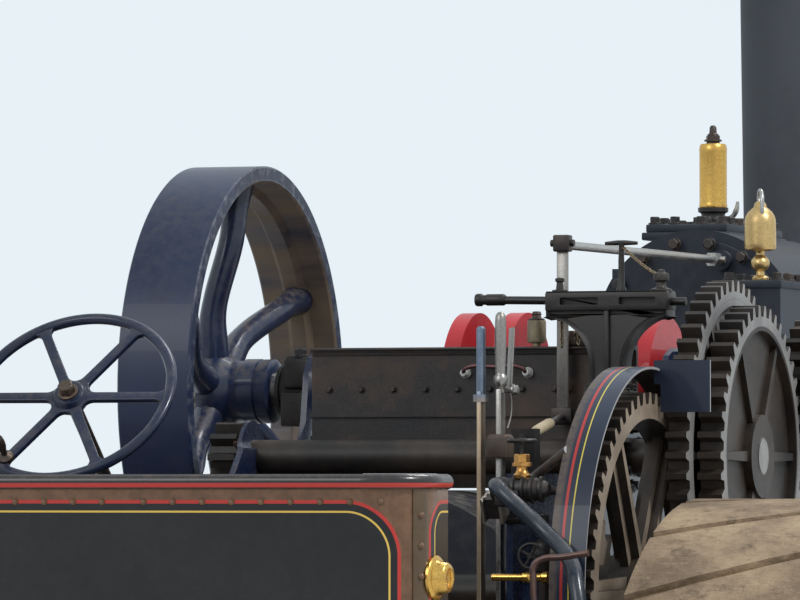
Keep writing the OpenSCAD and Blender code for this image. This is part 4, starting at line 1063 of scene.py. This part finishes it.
def chain_between(name, start, end, sag, links, long, wire):
    """Round-wire links from start to end, hanging by sag in the middle, each turned on its neighbour."""
    clear_selection()
    bpy.ops.mesh.primitive_torus_add(major_radius=long * 0.33, minor_radius=wire, major_segments=14, minor_segments=6)
    link = start_piece("link")
    link.data.transform(Matrix.Diagonal((1.75, 1.0, 1.0, 1)))
    matrices = []
    for k in range(links):
        share = (k + 0.5) / links
        point = start.lerp(end, share) - Vector((0, 0, sag * 4 * share * (1 - share)))
        way = (end - start) / links - Vector((0, 0, sag * 4 * (1 - 2 * share) / links))
        along = way.to_track_quat("X", "Z").to_matrix().to_4x4()
        matrices.append(Matrix.Translation(point) @ along @ Matrix.Rotation(math.radians(90 * (k % 2) + 20), 4, "X"))
    return set_out(link, matrices, name)


keeper = chain_between("keeper_chain", Vector((spindle_x, middle_y - 0.022, 2.622)),
                       Vector((cup_x, middle_y - 0.126, 2.546)), 0.006, 15, 0.0115, 0.0014)
hanging = chain_between("hanging_chain", Vector((-0.868, -0.330, 2.456)), Vector((-0.868, -0.3305, 2.366)), 0.0, 9,
                        0.0125, 0.0016)
hanging_two = chain_between("hanging_chain_two", Vector((-0.868, -0.374, 2.456)), Vector((-0.868, -0.3745, 2.372)),
                            0.0, 8, 0.0125, 0.0016)
little_chains = joined([keeper, hanging, hanging_two], "bracket_chains")
finish_piece(little_chains, oily_iron("chain_tan", (0.25, 0.19, 0.12), rust=(0.18, 0.11, 0.06), rusty=0.5, rough=0.4,
                                      metal=0.8), "root", angle=60)

# Cross plate: a bent grab rail on its rear face, its turned ends painted near-white as a painted highlight,
# and an angle iron with a lap along its top edge.
rail = tube("grab_rail", [(-0.724, -0.024, 2.302), (-0.745, -0.0245, 2.304), (-0.752, -0.032, 2.314),
                          (-0.752, -0.110, 2.318), (-0.752, -0.186, 2.314), (-0.745, -0.1935, 2.304),
                          (-0.724, -0.194, 2.302)], 0.0055, sides=12)
finish_piece(rail, oily_iron("rail_red_iron", (0.14, 0.060, 0.060), rust=(0.10, 0.06, 0.05), rusty=0.4, rough=0.35,
                             metal=0.6), "root", angle=60)
ends = joined([turned("rail_end", [(0.0, 0.0), (0.013, 0.0), (0.0145, 0.003), (0.011, 0.008), (0.0085, 0.016),
                                   (0.0085, 0.026), (0.0, 0.028)], (-0.7215, y, 2.303), (-1, 0, 0), 20)
               for y in (-0.0245, -0.1935)], "grab_rail_ends")
# The rail's turned ends are painted near-white: a painted highlight standing for the glint on them.
finish_piece(ends, oily_iron("rail_end_painted_glint", (0.75, 0.74, 0.70), rust=(0.40, 0.36, 0.30), rusty=0.3, rough=0.35,
                             metal=0.1), "root", angle=40)
angle_top = block("plate_angle", (-0.744, -0.482, 2.362), (-0.7185, 0.397, 2.3695), 0.002)
lap = block("plate_lap", (-0.7245, -0.482, 2.3495), (-0.7185, 0.397, 2.365), 0.0015)
plate_edge = joined([angle_top, lap], "plate_angle_iron")
finish_piece(plate_edge, dark_iron, "root")

# Cylinder: a bolted top cover, nuts round the end cover and round the stuffing box, and the
# steam chest's lid with its studs.
cover = block("top_cover", (1.150, -0.186, 2.738), (1.740, 0.056, 2.7615), 0.004)
step_lid = block("cover_rim", (1.140, -0.196, 2.716), (1.750, 0.066, 2.738), 0.004)
chest_lid = block("chest_lid", (0.728, -0.465, 2.562), (1.795, -0.285, 2.5845), 0.004)
covers = joined([cover, step_lid, chest_lid], "cylinder_covers")
finish_piece(covers, lagging_paint, "root")
cover_top = 2.7625
end_cover, stuffing_box = (0.9905, -0.130, 2.440), (0.974, 0.030, 2.265)
spots = [stand((x, y, cover_top), (0, 0, 1), random.random()) for x in (1.172, 1.718)
         for y in (-0.165, -0.105, -0.025, 0.035)]
spots += [stand((1.172 + 0.091 * k, y, cover_top), (0, 0, 1), random.random()) for k in range(1, 6)
          for y in (-0.165, 0.035)]
spots += [stand(on_ring("X", end_cover, 0.262, math.radians(11.25 + 22.5 * k)), (-1, 0, 0),
                random.random()) for k in range(9)]
spots += [stand((0.752 + 0.112 * k, y, 2.585), (0, 0, 1), random.random()) for k in range(10)
          for y in (-0.447, -0.308)]
spots += [stand(on_ring("X", stuffing_box, 0.142, math.radians(22.5 + 45 * k)), (-1, 0, 0), random.random())
          for k in range(8)]
cover_nuts = set_out(hex_bolt(0.026, 0.017), spots, "cylinder_nuts")
finish_piece(cover_nuts, dark_iron, "root")

# Mud: lumps of dried earth and chaff caked between the strakes of both rear tyres, each
# lump a squashed copy of one rough clod.
clear_selection()
bpy.ops.mesh.primitive_ico_sphere_add(subdivisions=2, radius=1.0, location=(0, 0, 0))
clod = start_piece("clod")
for vertex in clod.data.vertices:
    vertex.co *= 0.75 + 0.5 * random.random()
edit_all(clod, lambda: bpy.ops.mesh.vertices_smooth(factor=0.35))
axle, tread_radius = centre_of["rear_wheel_right_turn"], 0.974
for side, wheel in ((-1, "rear_wheel_right"), (1, "rear_wheel_left")):
    matrices = []
    for k in range(230):
        turn = random.uniform(0, math.tau)
        size = random.uniform(0.010, 0.030)
        radial = Vector((math.cos(turn), 0, math.sin(turn)))
        place_at = Vector((axle.x, side * random.uniform(0.895, 1.325), axle.z)) + radial * (tread_radius - 0.003)
        upright = stand(place_at, radial, random.uniform(0, 6))
        matrices.append(upright @ Matrix.Diagonal((size * random.uniform(0.8, 2.2), size, min(0.010, size * 0.5), 1)))
    mud = set_out(clod, matrices, "mud_right" if side < 0 else "mud_left", keep=True)
    finish_piece(mud, tread, wheel, angle=60)
bpy.data.objects.remove(clod)

# Boiler and smokebox: bright bands round the lagging with their clips, cup-head rivets round
# the smokebox's ends and the chimney's foot and seam, and studs in the horn plates' front edges.
barrel_z, barrel_r = 1.560, 0.430
bands = []
for x in (-0.395, 0.130, 0.640, 1.900, 2.070):
    bands.append(turned("band", [(barrel_r - 0.001, -0.024), (barrel_r + 0.0035, -0.024), (barrel_r + 0.0045, -0.020),
                                 (barrel_r + 0.0045, 0.020), (barrel_r + 0.0035, 0.024), (barrel_r - 0.001, 0.024)],
                        (x, 0, barrel_z), (1, 0, 0), 120))
    bands.append(block("band_clip", (x - 0.018, -0.016, barrel_z - barrel_r - 0.022),
                       (x + 0.018, 0.016, barrel_z - barrel_r + 0.002), 0.003))
bands = joined(bands, "boiler_bands")
finish_piece(bands, brass, "root", angle=40)
smoke_radius, chimney_x = 0.452, 2.611
spots = []
for x in (2.112, 2.960):
    spots += [stand(on_ring("X", (x, 0, barrel_z), smoke_radius, math.tau * k / 48),
                    on_ring("X", (0, 0, 0), 1, math.tau * k / 48)) for k in range(48) if not 9 < k < 15 or x > 2.9]
spots += [stand(on_ring("Z", (chimney_x, 0, 2.0705), 0.2145, math.tau * k / 24), (0, 0, 1)) for k in range(24)]
seam = math.radians(200)
spots += [stand(on_ring("Z", (chimney_x, 0, 2.110 + 0.060 * k), 0.1705 * (1 + 0.0006 * k), seam),
                on_ring("Z", (0, 0, 0), 1, seam)) for k in range(27)]
smoke_rivets = set_out(turned("smoke_rivet", rivet_outline, steps=10), spots, "smokebox_rivets")
finish_piece(smoke_rivets, chimney_paint, "root", angle=60)
plate_face = 0.5085
spots = [stand((x, side * plate_face, z), (0, side, 0), random.random()) for side in (-1, 1)
         for x, z in [(0.005, 1.10 + 0.085 * k) for k in range(12)] + [(-1.95 + 0.14 * k, 0.88) for k in range(5)]]
horn_studs = set_out(hex_bolt(0.020, 0.013), spots, "horn_plate_studs")
finish_piece(horn_studs, dark_iron, "root")

# Chimney top: a dull copper cap rolled outward over the iron barrel's edge, with its
# flue left open.
cap = turned("chimney_cap", [(0.186, 3.788), (0.2175, 3.790), (0.2195, 3.800), (0.2200, 3.830), (0.2235, 3.850),
                             (0.2270, 3.862), (0.2275, 3.872), (0.224, 3.8785), (0.180, 3.8795), (0.160, 3.8790),
                             (0.1535, 3.872), (0.1485, 3.862), (0.1485, 3.788)], (chimney_x, 0, 0), steps=96)
finish_piece(cap, oily_iron("dull_copper", (0.36, 0.17, 0.09), rust=(0.10, 0.07, 0.055), rusty=0.8, rough=0.38,
                            metal=0.8), "root", angle=50)

# Smokebox door: what is fitted on the solid's door, a bright ring round its edge, two
# handles on the dart, and the bolts of the hinge straps.
door_face = 2.971
rim_ring = turned("door_rim", [(0.318, 0.0), (0.343, 0.0), (0.345, 0.004), (0.343, 0.010), (0.330, 0.014),
                               (0.318, 0.010)], (door_face - 0.001, 0, barrel_z), (1, 0, 0), 96)
dart = turned("dart_boss", [(0.0, 0.045), (0.040, 0.045), (0.042, 0.050), (0.036, 0.058), (0.022, 0.062),
                            (0.020, 0.078), (0.0, 0.080)], (2.955, 0, barrel_z), (1, 0, 0), 32)
handles = [tube("dart_handle", [(3.034, 0, barrel_z)] + [on_ring("X", (x, 0, barrel_z), reach, math.radians(degrees))
                                for x, reach in ((3.040, 0.055), (3.042, 0.145), (3.046, 0.165))],
                0.0085, sides=12, radii=[1.3, 1.0, 0.9, 1.5]) for degrees in (-60, 215)]
door_bright = joined([rim_ring, dart, *handles], "smokebox_door_fittings")
finish_piece(door_bright, bright_steel, "smokebox_door", angle=45)
spots = [stand((2.9785, y, barrel_z + side * 0.170), (1, 0, 0), random.random()) for side in (-1, 1)
         for y in (0.215, 0.265, 0.320)]
strap_bolts = set_out(hex_bolt(0.020, 0.010), spots, "door_strap_bolts")
finish_piece(strap_bolts, dark_iron, "smokebox_door")

# Road wheels: collars and nuts on the hubs, and rivets through the flange at each spoke's end.
hub_rivet = turned("wheel_rivet", rivet_outline, steps=8)
wheel_sizes = (("rear_wheel", 1.380, 0.150, 0.070, 1.110, 0.862, 0.016, 14),
               ("front_wheel", 0.866, 0.095, 0.044, 0.710, 0.562, 0.010, 12))
for wheel, hub_end, hub_reach, shaft_r, middle_plane, rivet_r, rivet_off, count in wheel_sizes:
    for side, hand in ((1, "left"), (-1, "right")):
        body = wheel + "_" + hand
        at = centre_of[body + "_turn"]
        collar = turned("hub_collar", [(shaft_r, -0.002), (hub_reach * 0.90, -0.002), (hub_reach * 0.92, 0.003),
                                       (hub_reach * 0.84, 0.010), (shaft_r + 0.016, 0.014), (shaft_r + 0.012, 0.024),
                                       (shaft_r, 0.024)], (at.x, side * hub_end, at.z), (0, side, 0), 48)
        ring_r, nut_foot = (hub_reach * 0.84 + shaft_r + 0.016) / 2, side * (hub_end + 0.008)
        spots = [stand(on_ring("Y", (at.x, nut_foot, at.z), ring_r, math.tau * k / 8), (0, side, 0), random.random())
                 for k in range(8)]
        nuts = set_out(hex_bolt(0.020, 0.010), spots, "hub_nuts")
        hub = joined([collar, nuts], body + "_hub")
        finish_piece(hub, dark_iron, body, angle=45)
        spots = []
        for k in range(count):
            for way in (1, -1):
                turn = math.tau * (k + way * 0.25) / count
                out, over = Vector((math.sin(turn), 0, math.cos(turn))), Vector((math.cos(turn), 0, -math.sin(turn)))
                foot = Vector((at.x, side * middle_plane + way * 0.0345, at.z)) + out * rivet_r
                spots += [stand(foot + over * off, (0, way, 0)) for off in (-rivet_off, rivet_off)]
        rivets = set_out(hub_rivet, spots, body + "_rivets", keep=True)
        finish_piece(rivets, wheel_paint, body, angle=60)
bpy.data.objects.remove(hub_rivet)

# Steering chains: welded links from the drum to the front axle's ends, each with a
# turned stretcher in its run.
chain_off, chain_z = 0.250, 0.610
for side, hand in ((1, "left"), (-1, "right")):
    rear_end, front_end = Vector((-0.330, side * chain_off, chain_z)), Vector((2.480, side * chain_off, chain_z))
    links = chain_between("steering_chain_" + hand, rear_end, front_end, 0.0, 88, 0.0345, 0.0042)
    stretcher = turned("chain_stretcher", [(0.0, 1.30), (0.006, 1.30), (0.0075, 1.305), (0.0075, 1.40),
                                           (0.0125, 1.41), (0.0125, 1.54), (0.0075, 1.55), (0.0075, 1.645),
                                           (0.006, 1.65), (0.0, 1.65)], (0, side * chain_off, chain_z), (1, 0, 0), 16)
    run = joined([links, stretcher], "steering_chain_" + hand)
    finish_piece(run, dark_iron, "chain_" + hand, angle=60)
    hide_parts("chain_" + hand)

# On the cross plate's angle iron: a brass oil cup with its iron lid, and two iron caps
# with their nuts.
iron_x, cup_y = -0.728, -0.218
cup = turned("oil_cup", [(0.0, 2.371), (0.012, 2.371), (0.012, 2.378), (0.0235, 2.380), (0.0245, 2.384),
                         (0.0245, 2.432), (0.0235, 2.437), (0.0, 2.437)], (iron_x, cup_y, 0), steps=32)
finish_piece(cup, oily_iron("old_brass", (0.30, 0.25, 0.16), rust=(0.12, 0.09, 0.06), rusty=0.7, rough=0.38,
                            metal=0.8), "root", angle=40)
lid = turned("oil_cup_lid", [(0.0, 2.436), (0.021, 2.436), (0.021, 2.441), (0.013, 2.444), (0.011, 2.450),
                             (0.013, 2.453), (0.010, 2.460), (0.0, 2.461)], (iron_x, cup_y, 0))
caps = [block("bearing_cap", (-0.745, low, 2.370), (-0.712, high, top), 0.004)
        for low, high, top in ((-0.395, -0.330, 2.404), (-0.330, -0.300, 2.392))]
cap_spots = [stand((iron_x, y, z), (0, 0, 1), 0.2) for y, z in ((-0.385, 2.404), (-0.345, 2.404), (-0.315, 2.392))]
cap_nuts = set_out(hex_bolt(0.022, 0.014), cap_spots, "cap_nuts")
lid = joined([lid, *caps, cap_nuts], "bearing_fittings")
finish_piece(lid, dark_iron, "root", angle=45)

# Left horn plate: the solid's plate with its shoulder cut down beside the second shaft, and a
# split crankshaft bearing with a cap and two nuts in place of the plain housing.
plate = new_object("horn_plate_left", nodes["side_plate_left"].data.copy())
edit_all(plate, lambda: bpy.ops.mesh.remove_doubles(threshold=0.00005))
cutters = [block("cut", (crank.x - 0.125, 0.5088, crank.z - 0.120),
                 (crank.x + 0.125, 0.70, crank.z + 0.120), 0.001, 1),
           block("cut", (-1.30, 0.46, 2.108), (-0.640, 0.5078, 2.60), 0.030, 4)]
for cutter in cutters:
    modified(plate, "BOOLEAN", operation="DIFFERENCE", object=cutter, solver="EXACT")
    bpy.data.objects.remove(cutter)
finish_piece(plate, blue_paint, "root", angle=30)
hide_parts("side_plate_left")
lower_half = block("bearing_foot", (crank.x - 0.085, plate_face, crank.z - 0.095),
                   (crank.x + 0.085, 0.612, crank.z - 0.004), 0.006)
upper_half = block("bearing_top", (crank.x - 0.080, 0.520, crank.z + 0.004),
                   (crank.x + 0.080, 0.606, crank.z + 0.088), 0.010, 3)
raise_top(upper_half, 0.006, 0.004)
bush = turned("bearing_bush", [(0.0505, 0.500), (0.064, 0.500), (0.064, 0.622), (0.070, 0.624), (0.070, 0.634),
                               (0.064, 0.636), (0.0505, 0.636)], (crank.x, 0, crank.z), (0, 1, 0), 48)
bearing = joined([lower_half, upper_half, bush], "crank_bearing_left")
finish_piece(bearing, bracket_black, "root", angle=40)
spots = [stand((crank.x + x, 0.563, crank.z + 0.092), (0, 0, 1), 0.3) for x in (-0.058, 0.058)]
cap_bolts = set_out(hex_bolt(0.026, 0.016), spots, "crank_bearing_nuts")
finish_piece(cap_bolts, dark_iron, "root")
